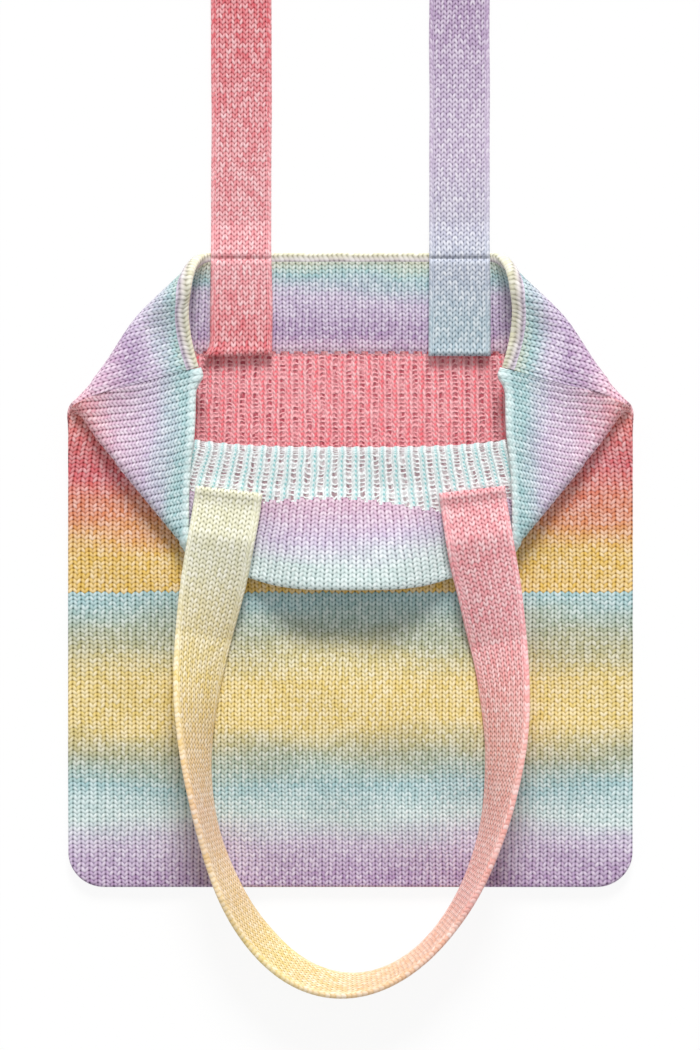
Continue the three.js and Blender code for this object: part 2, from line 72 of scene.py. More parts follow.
# Folds of the mouth
SIDE_FOLD_DEPTH = 107
SIDE_FOLD_INSET = 2
BACK_FOLD_ANGLE = 54.5
BACK_FOLD_RADIUS = 6
BACK_FOLD_WIDEST_RADIUS = 14
BACK_FOLD_STRAP_RADIUS = 5
BACK_FOLD_OPENS = (70, 125)
BACK_FOLD_CLOSES = (128, 150)
BACK_FOLD_BOW = 4.2
BACK_FOLD_BOW_MIDDLE = 45
BACK_FOLD_BOW_REACH = 72
TIP_BOW = 3.2
TIP_BOW_PLACE = 18
TIP_BOW_LENGTH = 20
MOUTH_DROP = 18
MOUTH_DROP_LENGTH = 75
SEAM_EASE = 45
FRONT_PUFF = 10
PUFF_FULLNESS = 4
BOTTOM_RISE_LENGTH = 90
MOUTH_RISE_LENGTH = 50
MOUTH_RISE_SHARE = 0.6
RIDGE_SAG = 30
RIDGE_FLATNESS = 3
RIDGE_RADIUS = 4
RIDGE_RADIUS_SIDE = 2.8
FLAP_DEPTH = 91.5
FLAP_LIP_RISE = 28
FLAP_LIP_REACH = 92
FLAP_LIP_FLATNESS = 3.6
FLAP_CORNER_RISE = 8.5
FLAP_CORNER_CLIMB = (105, 185)
FLAP_LIP_SPREAD = 1.226
FRONT_FOLD_ANGLE = 50.7
FRONT_FOLD_RADIUS = 3
FRONT_FOLD_GROWTH = 0.008
FRONT_FOLD_TIP = 4
FRONT_FOLD_TIP_LENGTH = 20

# Straps
STRAP_WIDTH = 41
STRAP_THICKNESS = 4.5
FRONT_STRAP_FLARE = 0.1
BACK_STRAP_FLARE = 0.03
FLARE_START = 0.33
FRONT_FLARE_LENGTH = 130
BACK_FLARE_LENGTH = 75
STRAP_TILT = 72
DRAPE_SLOPE = 0.22
FRONT_STRAP_SPACING = 164
FRONT_LOOP_WIDTH = 210
FRONT_LOOP_SHOULDER = 105
FRONT_LOOP_OVERHANG = 66
FRONT_LOOP_SWAY = 7
LOOP_SWAY_WAVES = 3
FRONT_LOOP_LEAN = 2.5
LOOP_LEAN_CURVE = 3
BACK_STRAP_SPACING = 148
BACK_LOOP_DEPTH = 74
TWIST_START = 5
TWIST_END = 250
BACK_TWIST_LENGTH = 148
STRAP_WOBBLE = 0.6
WOBBLE_ACROSS = 0.4
END_DROOP = 2
END_DROOP_LENGTH = 14
END_SLANT = 0.4
END_ROLL = 0.9
END_ROLL_PLACE = 3.4
END_ROLL_LENGTH = 2.4
CREASE_DEPTH = 1.9
CREASE_LENGTH = 1.5
CREASE_PLACE = HEM_DEPTH - 4
CORNER_TUFT = 4
CORNER_TUFT_LENGTH = 5
CORNER_TUFT_START = 0.4

# Stitches: towards the side seams the wales widen in the body, which is stretched, and narrow in the hem.
# WALE and COURSE are the width and height of one stitch, and the finishes count stitches by them
WALE = 4.5
BODY_STRETCH = 0.055
HEM_STRETCH = -0.05
BODY_END = 265
HEM_START = 400
COURSE = 3
WALE_RELIEF = 0.22
WALE_UNEVENNESS = (0.75, 1.25)
SPARE_WALES = 12
INNER_RELIEF_SHARE = 0.9
UNDER_RELIEF = 0.2
LADDER_PITCH = 2 * WALE
LADDER_RIB_SHARE = 0.4
LADDER_RIB_SLOPE = 0.15
LADDER_RIB_RISE = 0.4
LADDER_RELIEF = 0.7
LADDER_COURSE = 3.25
HEM_TEETH = 1.3
HEM_LINE_BLUR = 1
BELOW_HEM = 5
STRAP_WALE = 3.9
STRAP_COURSE = 3.35
STRAP_RELIEF = 0.12
STRAP_EDGE = 3.3
LIP_WIDTH = 8.5
LIP_BEAD = 1.5
LIP_LINK = 3.4
LIP_LINK_RELIEF = 0.08
LIP_LINK_SLANT = 0.4
BACK_BEAD_INSIDE = 0.5
FRONT_BEAD_INSIDE = 0.4
SEAM_LIFT = 0.95
LEAST_SEAM_LIFT = 0.1
SEAM_TURN = (-6, 10)
SIDE_SWELL = 1.3
SIDE_SWELL_START = 150
SIDE_SWELL_SHARE = 0.25
NUB_SIZE = 5
NUB_REACH = 4
NUB_SWELL = 2

# Looseness of the front: its hem line, the lifted flap, the hollow below it and soft waves
FRONT_HEM = 62
FRONT_HEM_ARCH = 9
FRONT_HEM_LEAN = 4
FRONT_HEM_REACH = 60
FLAP_LIFT = 14
FLAP_LIFT_START = 0.2
FLAP_LIFT_FALL = (20, 68)
LOOSENESS = 3
WAVES_EASE = 40
HOLLOW_DEPTH = 5.5
HOLLOW_PLACE = 26
HOLLOW_WIDTH = 80
HOLLOW_LENGTH = 24
HOLLOW_FLATNESS = 4

# How roundly the edges of the sheets end
SEAM_ROUNDING = 0.35
LIP_ROUNDING = 2.3
BOTTOM_ROUNDING = 1.6
STRAP_SIDE_ROUNDING = 2.3
STRAP_END_ROUNDING = 1.6

# Rows and columns of the meshes
STATION_STEP = 1.15
EDGE_STEPS = np.array([0, 0.15, 0.5, 1.0, 1.6, 2.3])
LIP_STEPS = np.concatenate([EDGE_STEPS, [3.1, 4, 5, 6, LIP_WIDTH, LIP_WIDTH + 1.2]])
BACK_BODY_ROWS = 24
BACK_TOP_ROWS = 74
FRONT_BODY_ROWS = 71
RIDGE_ROWS = 9
FLAP_ROWS = 46
LEG_STEPS = 90
LOOP_STEPS = 90
FOOTPRINT_STEPS = 8
STRAP_ROW_STEP = 1.6
STRAP_COLUMNS_A_WALE = 4
CREASE_ROWS = np.arange(-4, 4.1, 0.5)

HALF_WIDTH = BAG_WIDTH / 2
HALF_HEIGHT = BAG_HEIGHT / 2
FOLD_X = HALF_WIDTH - SIDE_FOLD_INSET
FOLD_Y = HALF_HEIGHT - SIDE_FOLD_DEPTH
FRONT_EDGE_Z = FABRIC + CLEARANCE + FABRIC / 2


def blend(a, b, share):
    return a + (b - a) * share


def ease(value, low, high):
    share = np.clip((value - low) / (high - low), 0, 1)
    return share * share * (3 - 2 * share)


# Shapes of the panels

def bottom_y(x):
    into = np.maximum(0, np.abs(x) - (HALF_WIDTH - CORNER_RADIUS))
    return -HALF_HEIGHT + CORNER_RADIUS - np.sqrt(np.maximum(0, CORNER_RADIUS**2 - into**2))


def hem_thickness(depth):
    return blend(HEM_FABRIC, FABRIC, ease(depth, HEM_DEPTH - HEM_STEP, HEM_DEPTH))


def side_crease(angle, radius_at, bow_at):
    """A fold across an upper corner: its direction, its outward side, and its radius and bow along it."""
    turn = math.radians(angle)
    along = (-math.cos(turn), math.sin(turn))
    outward = (abs(math.sin(turn)), math.cos(turn) * math.copysign(1, turn))
    return along, outward, radius_at, bow_at


def back_fold_radius(along):
    opened = blend(BACK_FOLD_RADIUS, BACK_FOLD_WIDEST_RADIUS, ease(along, *BACK_FOLD_OPENS))
    return blend(opened, BACK_FOLD_STRAP_RADIUS, ease(along, *BACK_FOLD_CLOSES))


def back_fold_bow(along):
    along = np.clip(along, 0, BACK_FOLD_CLOSES[0])
    tip = TIP_BOW * np.exp(-(((along - TIP_BOW_PLACE) / TIP_BOW_LENGTH) ** 2))
    return BACK_FOLD_BOW * (1 - ((along - BACK_FOLD_BOW_MIDDLE) / BACK_FOLD_BOW_REACH) ** 2) + tip


def front_fold_radius(along):
    tip = FRONT_FOLD_TIP * np.exp(-((along / FRONT_FOLD_TIP_LENGTH) ** 2))
    return FRONT_FOLD_RADIUS + FRONT_FOLD_GROWTH * np.maximum(0, along) + tip


BACK_CREASE = side_crease(BACK_FOLD_ANGLE, back_fold_radius, back_fold_bow)
FRONT_CREASE = side_crease(-FRONT_FOLD_ANGLE, front_fold_radius, lambda along: 0)


def beside_crease(crease, x, y):
    """Place along a crease, radius and start of its bend, and how far a point is beyond that start."""
    (ex, ey), (nx, ny), radius_at, bow_at = crease
    along = (x - FOLD_X) * ex + (y - FOLD_Y) * ey
    radius = radius_at(along)
    start = bow_at(along) - radius * math.pi / 2
    return along, radius, start, (x - FOLD_X) * nx + (y - FOLD_Y) * ny - start


def roll_over(crease, x, y):
    """Rolls flat cloth over a crease: (x, y, lift, x of its foot, y of its foot)."""
    (ex, ey), (nx, ny) = crease[:2]
    along, radius, start, beyond = beside_crease(crease, x, y)
    turn = np.clip(beyond / radius, 0, math.pi)
    offset = np.minimum(beyond, radius * np.sin(turn) - np.maximum(0, beyond - math.pi * radius))
    foot_x = FOLD_X + ex * along + nx * start
    foot_y = FOLD_Y + ey * along + ny * start
    flat = beyond <= 0
    plan_x = np.where(flat, x, foot_x + nx * offset)
    plan_y = np.where(flat, y, foot_y + ny * offset)
    lift = radius * (1 - np.cos(turn))
    return plan_x, plan_y, lift, np.where(flat, x, foot_x), np.where(flat, y, foot_y)


def mouth_y(x):
    return HALF_HEIGHT - MOUTH_DROP * ease(x, HALF_WIDTH - MOUTH_DROP_LENGTH, HALF_WIDTH)


def back_sheet(x, y):
    px, py, lift, _, _ = roll_over(BACK_CREASE, x, y)
    return np.stack([px, py, hem_thickness(mouth_y(x) - y) / 2 + lift], -1)


def front_layer_z(x, y):
    across = 1 - np.minimum(1, np.abs(x) / HALF_WIDTH) ** PUFF_FULLNESS
    rise = ease(y, -HALF_HEIGHT, -HALF_HEIGHT + BOTTOM_RISE_LENGTH)
    opening = MOUTH_RISE_SHARE * ease(y, FOLD_Y - MOUTH_RISE_LENGTH, FOLD_Y)
    return FRONT_EDGE_Z + FRONT_PUFF * rise * blend(across, 1, opening)


def ridge_y(x):
    return FOLD_Y - RIDGE_SAG * (1 - (x / HALF_WIDTH) ** RIDGE_FLATNESS)


def ridge_radius(x):
    return blend(RIDGE_RADIUS, RIDGE_RADIUS_SIDE, np.minimum(1, np.abs(x) / HALF_WIDTH) ** 2)


def flap_z(x, y):
    return front_layer_z(x, y) + 2 * ridge_radius(x)


def lip_y(lip_x):
    rise = FLAP_LIP_RISE * (1 - np.exp(-(np.abs(lip_x / FLAP_LIP_REACH) ** FLAP_LIP_FLATNESS)))
    corner = FLAP_CORNER_RISE * ease(lip_x, *FLAP_CORNER_CLIMB)
    return ridge_y(0) - FLAP_DEPTH + rise + corner


def flat_flap(x, share):
    lip_x = x * FLAP_LIP_SPREAD
    return blend(x, lip_x, share), blend(ridge_y(x), lip_y(lip_x), share)


def flap_sheet(x, share):
    flat_x, flat_y = flat_flap(x, share)
    px, py, lift, fx, fy = roll_over(FRONT_CREASE, flat_x, flat_y)
    loose = FLAP_LIFT * ease(share, FLAP_LIFT_START, 1) * (1 - ease(flat_x, *FLAP_LIFT_FALL))
    return np.stack([px, py, flap_z(fx, fy) + lift + loose], -1)


def ridge_sheet(x, share):
    steepness = RIDGE_FLATNESS * RIDGE_SAG / HALF_WIDTH
    slope = np.arctan(steepness * (x / HALF_WIDTH) ** (RIDGE_FLATNESS - 1))
    radius = ridge_radius(x)
    out = radius * np.sin(math.pi * share)
    flat_x = x - out * np.sin(slope)
    flat_y = ridge_y(x) + out * np.cos(slope)
    base = front_layer_z(x, ridge_y(x)) + radius * (1 - np.cos(math.pi * share))
    px, py, lift, _, _ = roll_over(FRONT_CREASE, flat_x, flat_y)
    fold = ease(share, 0, 1)
    return np.stack([blend(flat_x, px, fold), blend(flat_y, py, fold), base + lift * fold], -1)


RIDGE_SEAM_SHARE = 1 / (1 + SIDE_FOLD_DEPTH / (math.pi * RIDGE_RADIUS_SIDE))


def back_seam(share):
    edge = np.full_like(share, HALF_WIDTH)
    return back_sheet(edge, blend(FOLD_Y, mouth_y(HALF_WIDTH), share))


def front_seam(share):
    edge = np.full_like(share, HALF_WIDTH)
    on_ridge = ridge_sheet(edge, np.clip(share / RIDGE_SEAM_SHARE, 0, 1))
    on_flap = flap_sheet(edge, np.clip((share - RIDGE_SEAM_SHARE) / (1 - RIDGE_SEAM_SHARE), 0, 1))
    return np.where((share < RIDGE_SEAM_SHARE)[..., None], on_ridge, on_flap)


def close_seam(points, x, share, own_seam, other_seam, fade):
    """Draws both panels' edges on to one line, and lets the soft sides below the fold swell out a little."""
    near = 1 - ease(HALF_WIDTH - x, 0, SEAM_EASE)
    closed = points + 0.5 * (near * fade)[..., None] * (other_seam(share) - own_seam(share))
    below_fold = 1 - ease(share, 0, SIDE_SWELL_SHARE)
    closed[..., 0] += SIDE_SWELL * ease(x, SIDE_SWELL_START, HALF_WIDTH) * below_fold
    return closed


# Sheets of knit: a middle surface, a thickness and the relief of the stitches on both faces

def wale_place(x, fabric_v):
    """Place across the knit before it was stretched, so that every wale is as wide."""
    stretch = blend(BODY_STRETCH, HEM_STRETCH, ease(fabric_v, BODY_END, HEM_START))
    return x * (1 - stretch * (x / HALF_WIDTH) ** 2)


def round_edge(distance, radius):
    inside = 1 - np.clip(distance / radius, 0, 1)
    return np.sqrt(1 - inside**2)


def wale_relief(across, pitch):
    groove = 1 - np.abs(np.sin(math.pi * across / pitch))
    return 1 - 2 * groove**2


def ladder_relief(across):
    place = np.abs(np.mod(across / LADDER_PITCH, 1) - 0.5) * 2
    low, high = LADDER_RIB_SHARE - LADDER_RIB_SLOPE, LADDER_RIB_SHARE + LADDER_RIB_SLOPE
    return LADDER_RIB_RISE - ease(place, low, high)


def hem_teeth(across):
    """The ladder's ribs run a little way into the hem."""
    return HEM_TEETH * np.cos(2 * math.pi * (across / LADDER_PITCH - 0.5))


def waves(seed, count, longest, shortest):
    """A gentle unevenness of cloth that lies loose, from -1 to 1, as a function of place."""
    made = np.random.RandomState(seed)
    turns = made.uniform(0, 2 * math.pi, (count, 2))
    lengths = made.uniform(shortest, longest, count)

    def at(x, y):
        total = 0
        for (heading, start), length in zip(turns, lengths):
            along = x * math.cos(heading) + y * math.sin(heading)
            total = total + np.sin(along * 2 * math.pi / length + start)
        return total / count

    return at


def closed_sheet(
    name, middle, half_up, half_under, edge, lift, fabric, stitch, chain, finish_up, finish_under, finishes
):
    """One closed mesh of a sheet. Its two faces meet in its outer edge, where it has no thickness.

    edge is the share of the thickness that is left near the outer edge, and lift raises that edge, as where
    two panels are sewn edge to edge. fabric holds places on the cloth in millimetres, and stitch counts wales
    and courses. The last finish is the chain of stitches along an edge, which counts its own links in chain.
    """
    rows, columns = middle.shape[:2]
    across = np.gradient(middle, axis=1)
    along = np.gradient(middle, axis=0)
    normal = np.cross(across, along)
    normal /= np.maximum(np.linalg.norm(normal, axis=-1, keepdims=True), 1e-9)
    outer_edge = middle.copy()
    outer_edge[..., 2] += lift
    up = blend(outer_edge, middle + normal * half_up[..., None], edge[..., None])
    under = blend(outer_edge, middle - normal * half_under[..., None], edge[..., None])
    number = np.arange(rows * columns).reshape(rows, columns)
    inner = np.zeros((rows, columns), bool)
    inner[1:-1, 1:-1] = True
    number_under = number.copy()
    number_under[inner] = rows * columns + np.arange(inner.sum())
    upper = np.where(inner[..., None], up, outer_edge).reshape(-1, 3)
    vertices = np.concatenate([upper, under[inner]]) * MM

    def quads(numbers, order):
        corners = [numbers[:-1, :-1], numbers[:-1, 1:], numbers[1:, 1:], numbers[1:, :-1]]
        return np.stack([corners[i] for i in order], -1).reshape(-1, 4)

    faces = np.concatenate([quads(number, (0, 1, 2, 3)), quads(number_under, (0, 3, 2, 1))])
    finish = np.concatenate([finish_up[:-1, :-1].ravel(), finish_under[:-1, :-1].ravel()])
    grid_place = np.concatenate([np.arange(rows * columns), np.flatnonzero(inner)])[faces.ravel()]
    chained = np.repeat(finish == len(finishes) - 1, 4)[:, None]
    stitches = np.where(chained, chain.reshape(-1, 2)[grid_place], stitch.reshape(-1, 2)[grid_place])

    mesh = bpy.data.meshes.new(name)
    mesh.from_pydata(vertices.tolist(), [], faces.tolist())
    for label, places in (("fabric", fabric.reshape(-1, 2)[grid_place]), ("stitch", stitches)):
        layer = mesh.uv_layers.new(name=label)
        layer.data.foreach_set("uv", places.astype(np.float32).ravel())
    mesh.polygons.foreach_set("material_index", finish.astype(np.int32))
    mesh.polygons.foreach_set("use_smooth", np.ones(len(faces), bool))
    sewn = np.append(((np.abs(lift) > LEAST_SEAM_LIFT) & ~inner).ravel(), np.zeros(inner.sum(), bool))
    ends = np.zeros(len(mesh.edges) * 2, np.int32)
    mesh.edges.foreach_get("vertices", ends)
    mesh.edges.foreach_set("use_edge_sharp", sewn[ends].reshape(-1, 2).all(1))
    for material in finishes:
        mesh.materials.append(material)
    mesh.update()
    piece = bpy.data.objects.new(name, mesh)
    bpy.context.scene.collection.objects.link(piece)
    return piece


OUTSIDE, HEM_INSIDE, LADDER, LIP = range(4)
STATIONS = np.concatenate([
    -HALF_WIDTH + EDGE_STEPS[:-1],
    np.linspace(-1, 1, int(BAG_WIDTH / STATION_STEP)) * (HALF_WIDTH - EDGE_STEPS[-1]),
    HALF_WIDTH - EDGE_STEPS[-2::-1],
])


def lip_bead(depth, across):
    """Rolled edge of the mouth, ribbed by its stitches."""
    from_top = np.abs(depth / LIP_WIDTH - 0.5) * 2
    rib = np.cos(2 * math.pi * (across / LIP_LINK + from_top * LIP_LINK_SLANT))
    return LIP_BEAD * np.sqrt(np.maximum(0, 1 - from_top**2)) * (1 + LIP_LINK_RELIEF * rib)


def panel_reliefs(across, depth, hem, seed):
    """Relief of a panel's outer and inner face, in millimetres."""
    made = np.random.RandomState(seed)
    uneven = made.uniform(*WALE_UNEVENNESS, int(BAG_WIDTH / WALE) + SPARE_WALES)
    strength = uneven[np.floor(across / WALE).astype(int) + len(uneven) // 2]
    outer = WALE_RELIEF * strength * wale_relief(across, WALE)
    below_hem = ease(depth, hem - HEM_LINE_BLUR, hem + HEM_LINE_BLUR)
    inner = blend(outer * INNER_RELIEF_SHARE, LADDER_RELIEF * ladder_relief(across), below_hem)
    return outer, inner


def make_back_panel(finishes):
    folded_start = FOLD_Y - SEAM_EASE + HALF_HEIGHT
    low = np.linspace(EDGE_STEPS[-1], folded_start, BACK_BODY_ROWS)
    low = np.concatenate([EDGE_STEPS[:-1], low[:-1]])
    high = np.linspace(folded_start, BAG_HEIGHT - LIP_STEPS[-1], BACK_TOP_ROWS)
    share = np.concatenate([low, high[:-1], BAG_HEIGHT - LIP_STEPS[::-1]]) / BAG_HEIGHT
    station, share = np.meshgrid(STATIONS, share)
    x = np.abs(station)
    y = blend(bottom_y(x), mouth_y(x), share)
    depth = mouth_y(x) - y
    seam_share = np.clip((y - FOLD_Y) / (mouth_y(HALF_WIDTH) - FOLD_Y), 0, 1)
    fade = ease(y, FOLD_Y - SEAM_EASE / 2, FOLD_Y)
    middle = close_seam(back_sheet(x, y), x, seam_share, back_seam, front_seam, fade)
    middle[..., 2] = np.maximum(middle[..., 2], hem_thickness(depth) / 2)
    middle[..., 0] *= np.sign(station)

    fabric_v = np.where(y > 0, BAG_HEIGHT - depth, y + HALF_HEIGHT)
    across = wale_place(station, fabric_v)
    hem = HEM_DEPTH + hem_teeth(across)
    outer, inner = panel_reliefs(across, depth, hem, seed=3)
    half = hem_thickness(depth) / 2
    top_round = round_edge(depth, LIP_ROUNDING)
    bottom_round = round_edge(y - bottom_y(x), BOTTOM_ROUNDING)
    edge = round_edge(HALF_WIDTH - x, SEAM_ROUNDING) * top_round * bottom_round
    bead = lip_bead(depth, across)
    half_up = half + inner + bead * BACK_BEAD_INSIDE
    half_under = half + np.minimum(outer, UNDER_RELIEF) + bead
    lift = SEAM_LIFT * half * top_round * bottom_round
    inside = np.where(depth < LIP_WIDTH, LIP, np.where(depth < hem, HEM_INSIDE, LADDER))
    outside = np.where(depth < LIP_WIDTH, LIP, OUTSIDE)
    fabric = np.stack([across, fabric_v], -1)
    stitch = np.stack([across / WALE, fabric_v / COURSE], -1)
    chain = np.stack([depth / LIP_WIDTH, across / LIP_LINK], -1)
    return closed_sheet(
        "knitted_back_panel", middle, half_up, half_under, edge, lift,
        fabric, stitch, chain, inside, outside, finishes,
    )


FRONT_WAVES = waves(seed=11, count=9, longest=150, shortest=45)


def front_waves(from_middle, x, y):
    """Loose waves of the front panel, which its side seams hold flat, and the hollow below the flap."""
    below_lip = (lip_y(0) - HOLLOW_PLACE - y) / HOLLOW_LENGTH
    hollow = HOLLOW_DEPTH * np.exp(-((from_middle / HOLLOW_WIDTH) ** HOLLOW_FLATNESS) - below_lip**2)
    return LOOSENESS * ease(HALF_WIDTH - from_middle, 0, WAVES_EASE) * FRONT_WAVES(x, y) - hollow


def front_hem(station):
    """Depth of the hem line on the flap, which lies a little uneven between the straps."""
    place = np.clip(station / FRONT_HEM_REACH, -1, 1)
    return FRONT_HEM - FRONT_HEM_ARCH * place**2 - FRONT_HEM_LEAN * place


def make_front_panel(finishes):
    x_line = np.abs(STATIONS)
    layer_length = ridge_y(0) + HALF_HEIGHT
    layer_rows = np.linspace(EDGE_STEPS[-1], layer_length, FRONT_BODY_ROWS)
    layer_rows = np.concatenate([EDGE_STEPS[:-1], layer_rows[:-1]]) / layer_length
    ridge_rows = np.linspace(0, 1, RIDGE_ROWS)[:-1]
    flap_rows = np.linspace(0, FLAP_DEPTH - LIP_STEPS[-1], FLAP_ROWS)
    flap_rows = np.concatenate([flap_rows[:-1], FLAP_DEPTH - LIP_STEPS[::-1]]) / FLAP_DEPTH

    x, share = np.meshgrid(x_line, layer_rows)
    y = blend(bottom_y(x), ridge_y(x), share)
    layer = np.stack([x, y, front_layer_z(x, y)], -1)
    fade = ease(y, FOLD_Y - SEAM_EASE / 2, FOLD_Y)
    layer = close_seam(layer, x, np.zeros_like(x), front_seam, back_seam, fade)
    layer_v = y + HALF_HEIGHT
    bottom_edge = y - bottom_y(x)

    side_length = SIDE_FOLD_DEPTH - math.pi * RIDGE_RADIUS_SIDE
    flap_length = blend(FLAP_DEPTH, side_length, (x_line / HALF_WIDTH) ** 2)
    x, share = np.meshgrid(x_line, ridge_rows)
    seam_share = share * RIDGE_SEAM_SHARE
    ridge = close_seam(ridge_sheet(x, share), x, seam_share, front_seam, back_seam, np.ones_like(x))
    ridge_v = blend(ridge_y(x) + HALF_HEIGHT, BAG_HEIGHT - flap_length, share)

    x, share = np.meshgrid(x_line, flap_rows)
    seam_share = blend(RIDGE_SEAM_SHARE, 1, share)
    flap = close_seam(flap_sheet(x, share), x, seam_share, front_seam, back_seam, np.ones_like(x))
    flap_v = BAG_HEIGHT - (1 - share) * flap_length

    middle = np.concatenate([layer, ridge, flap])
    fabric_v = np.concatenate([layer_v, ridge_v, flap_v])
    station = np.broadcast_to(STATIONS, fabric_v.shape)
    x = np.abs(station)
    folded = len(layer) + len(ridge)
    depth = BAG_HEIGHT - fabric_v
    depth[:folded] = np.maximum(depth[:folded], HEM_DEPTH + BELOW_HEM)
    bottom = np.full_like(fabric_v, BAG_HEIGHT)
    bottom[: len(layer)] = bottom_edge
    middle[..., 0] *= np.sign(station)
    middle[..., 2] += front_waves(x, middle[..., 0], middle[..., 1])

    across = wale_place(station, fabric_v)
    hem = front_hem(station) + hem_teeth(across)
    outer, inner = panel_reliefs(across, depth, hem, seed=7)
    half = hem_thickness(depth) / 2
    top_round = round_edge(depth, LIP_ROUNDING)
    bottom_round = round_edge(bottom, BOTTOM_ROUNDING)
    edge = round_edge(HALF_WIDTH - x, SEAM_ROUNDING) * top_round * bottom_round
    bead = lip_bead(depth, across)
    nub = np.exp(-((HALF_WIDTH - x - NUB_SIZE) ** 2 + depth**2) / NUB_SIZE**2)
    middle[..., 0] -= np.sign(station) * NUB_REACH * nub
    half_up = half + outer + bead + NUB_SWELL * nub
    half_under = half + inner + bead * FRONT_BEAD_INSIDE + NUB_SWELL * nub
    turned = blend(-1, 1, ease(fabric_v - (FOLD_Y + HALF_HEIGHT), *SEAM_TURN))
    lift = SEAM_LIFT * half * turned * top_round * bottom_round
    outside = np.where(depth < LIP_WIDTH, LIP, OUTSIDE)
    inside = np.where(depth < hem, HEM_INSIDE, LADDER)
    fabric = np.stack([across, fabric_v], -1)
    stitch = np.stack([across / WALE, fabric_v / COURSE], -1)
    return closed_sheet(
        "knitted_front_panel", middle, half_up, half_under, edge, lift,
        fabric, stitch, stitch, outside, inside, finishes,
    )


# Straps

LOOP_TURNS = np.linspace(0, math.pi / 2, LOOP_STEPS + 1)[1:]


def run_lengths(places):
    return np.concatenate([[0], np.cumsum(np.linalg.norm(np.diff(places, axis=0), axis=1))])


def whole_route(half, tilt, sway, lean, flare, flare_length):
    """A strap's places, tilts and widths, from its left end round the loop to its right end.

    A loop laid by hand leans to the left, and its two legs turn up by different amounts, which is its sway.
    """
    left = np.stack([-half[:, 0] - lean, half[:, 1]], -1)
    right = np.stack([half[:, 0] - lean, half[:, 1]], -1)
    places = np.concatenate([left, right[-2::-1]])
    run = run_lengths(places)
    from_end = np.minimum(run, run[-1] - run)
    flared = flare * (1 - ease(from_end, flare_length * FLARE_START, flare_length))
    return places, np.concatenate([tilt + sway, (tilt - sway)[-2::-1]]), STRAP_WIDTH * (1 + flared)


def loop_quarter(width, shoulder, depth):
    return np.stack([width / 2 * np.cos(LOOP_TURNS), shoulder + depth * np.sin(LOOP_TURNS)], -1)


SEWN_END_Y = float(flat_flap(0, 1 - HEM_DEPTH / FLAP_DEPTH)[1])


def front_route():
    depth = FRONT_LOOP_SHOULDER - HALF_HEIGHT - FRONT_LOOP_OVERHANG
    share = np.linspace(0, 1, LEG_STEPS + 1)
    swing = (ease(share, 0, 1) + np.sin(share * math.pi / 2)) / 2
    leg_x = blend(FRONT_STRAP_SPACING, FRONT_LOOP_WIDTH, swing) / 2
    leg = np.stack([leg_x, blend(SEWN_END_Y, -FRONT_LOOP_SHOULDER, share)], -1)
    half = np.concatenate([leg, loop_quarter(FRONT_LOOP_WIDTH, -FRONT_LOOP_SHOULDER, depth)])
    twist = ease(SEWN_END_Y - half[:, 1], TWIST_START, TWIST_END)
    sway_share = np.concatenate([np.ones(len(leg)), np.cos(LOOP_SWAY_WAVES * LOOP_TURNS)])
    below = np.maximum(0, (half[:, 1] + FRONT_LOOP_SHOULDER) / depth)
    lean = FRONT_LOOP_LEAN * below**LOOP_LEAN_CURVE
    tilt = math.radians(STRAP_TILT) * twist
    sway = math.radians(FRONT_LOOP_SWAY) * twist * sway_share
    return whole_route(half, tilt, sway, lean, FRONT_STRAP_FLARE, FRONT_FLARE_LENGTH)


def back_route():
    half_length = run_lengths(front_route()[0])[-1] / 2
    quarter = loop_quarter(BACK_STRAP_SPACING, 0, BACK_LOOP_DEPTH)
    loop = np.concatenate([[[BACK_STRAP_SPACING / 2, 0]], quarter])
    leg_length = half_length - run_lengths(loop)[-1]
    sewn_y = HALF_HEIGHT - HEM_DEPTH
    leg_y = sewn_y + np.linspace(0, leg_length, LEG_STEPS + 1)[:-1]
    leg = np.stack([np.full(LEG_STEPS, BACK_STRAP_SPACING / 2), leg_y], -1)
    half = np.concatenate([leg, loop + (0, sewn_y + leg_length)])
    twist = ease(run_lengths(half), half_length - BACK_TWIST_LENGTH, half_length)
    tilt = math.radians(STRAP_TILT) * twist
    still = np.zeros(len(half))
    return whole_route(half, tilt, still, still, BACK_STRAP_FLARE, BACK_FLARE_LENGTH)


def front_top(x, y):
    """Top of whatever lies under a point of the front strap: cheek, flap, front layer or floor."""
    wave = front_waves(np.abs(x), x, y)
    x = np.abs(x)
    nx, ny = FRONT_CREASE[1]
    inside = (x - FOLD_X) * nx + (y - FOLD_Y) * ny
    unfolded_x, unfolded_y = x - 2 * inside * nx, y - 2 * inside * ny
    _, _, lift, fx, fy = roll_over(FRONT_CREASE, unfolded_x, unfolded_y)
    cheek = flap_z(fx, fy) + lift + HEM_FABRIC / 2
    flap = flap_z(x, y) + HEM_FABRIC / 2 + wave
    layer = front_layer_z(x, y) + FABRIC / 2 + wave
    top = np.where(y > -HALF_HEIGHT, layer, -CLEARANCE)
    top = np.where(y > lip_y(x), flap, top)
    return np.where((inside < 0) & (unfolded_y > lip_y(unfolded_x)), cheek, top)


def back_top(x, y):
    """Top of what lies under a point of the back strap: the hem, which curls up at its ends, or the floor."""
    _, radius, _, beyond = beside_crease(BACK_CREASE, np.abs(x), y)
    hollow = radius - HEM_FABRIC / 2
    curl = HEM_FABRIC / 2 + radius - np.sqrt(np.maximum(0, hollow**2 - np.maximum(0, beyond) ** 2))
    curl = np.where(beyond > hollow, 2 * radius + HEM_FABRIC, curl)
    return np.where(y < HALF_HEIGHT, curl, -CLEARANCE)


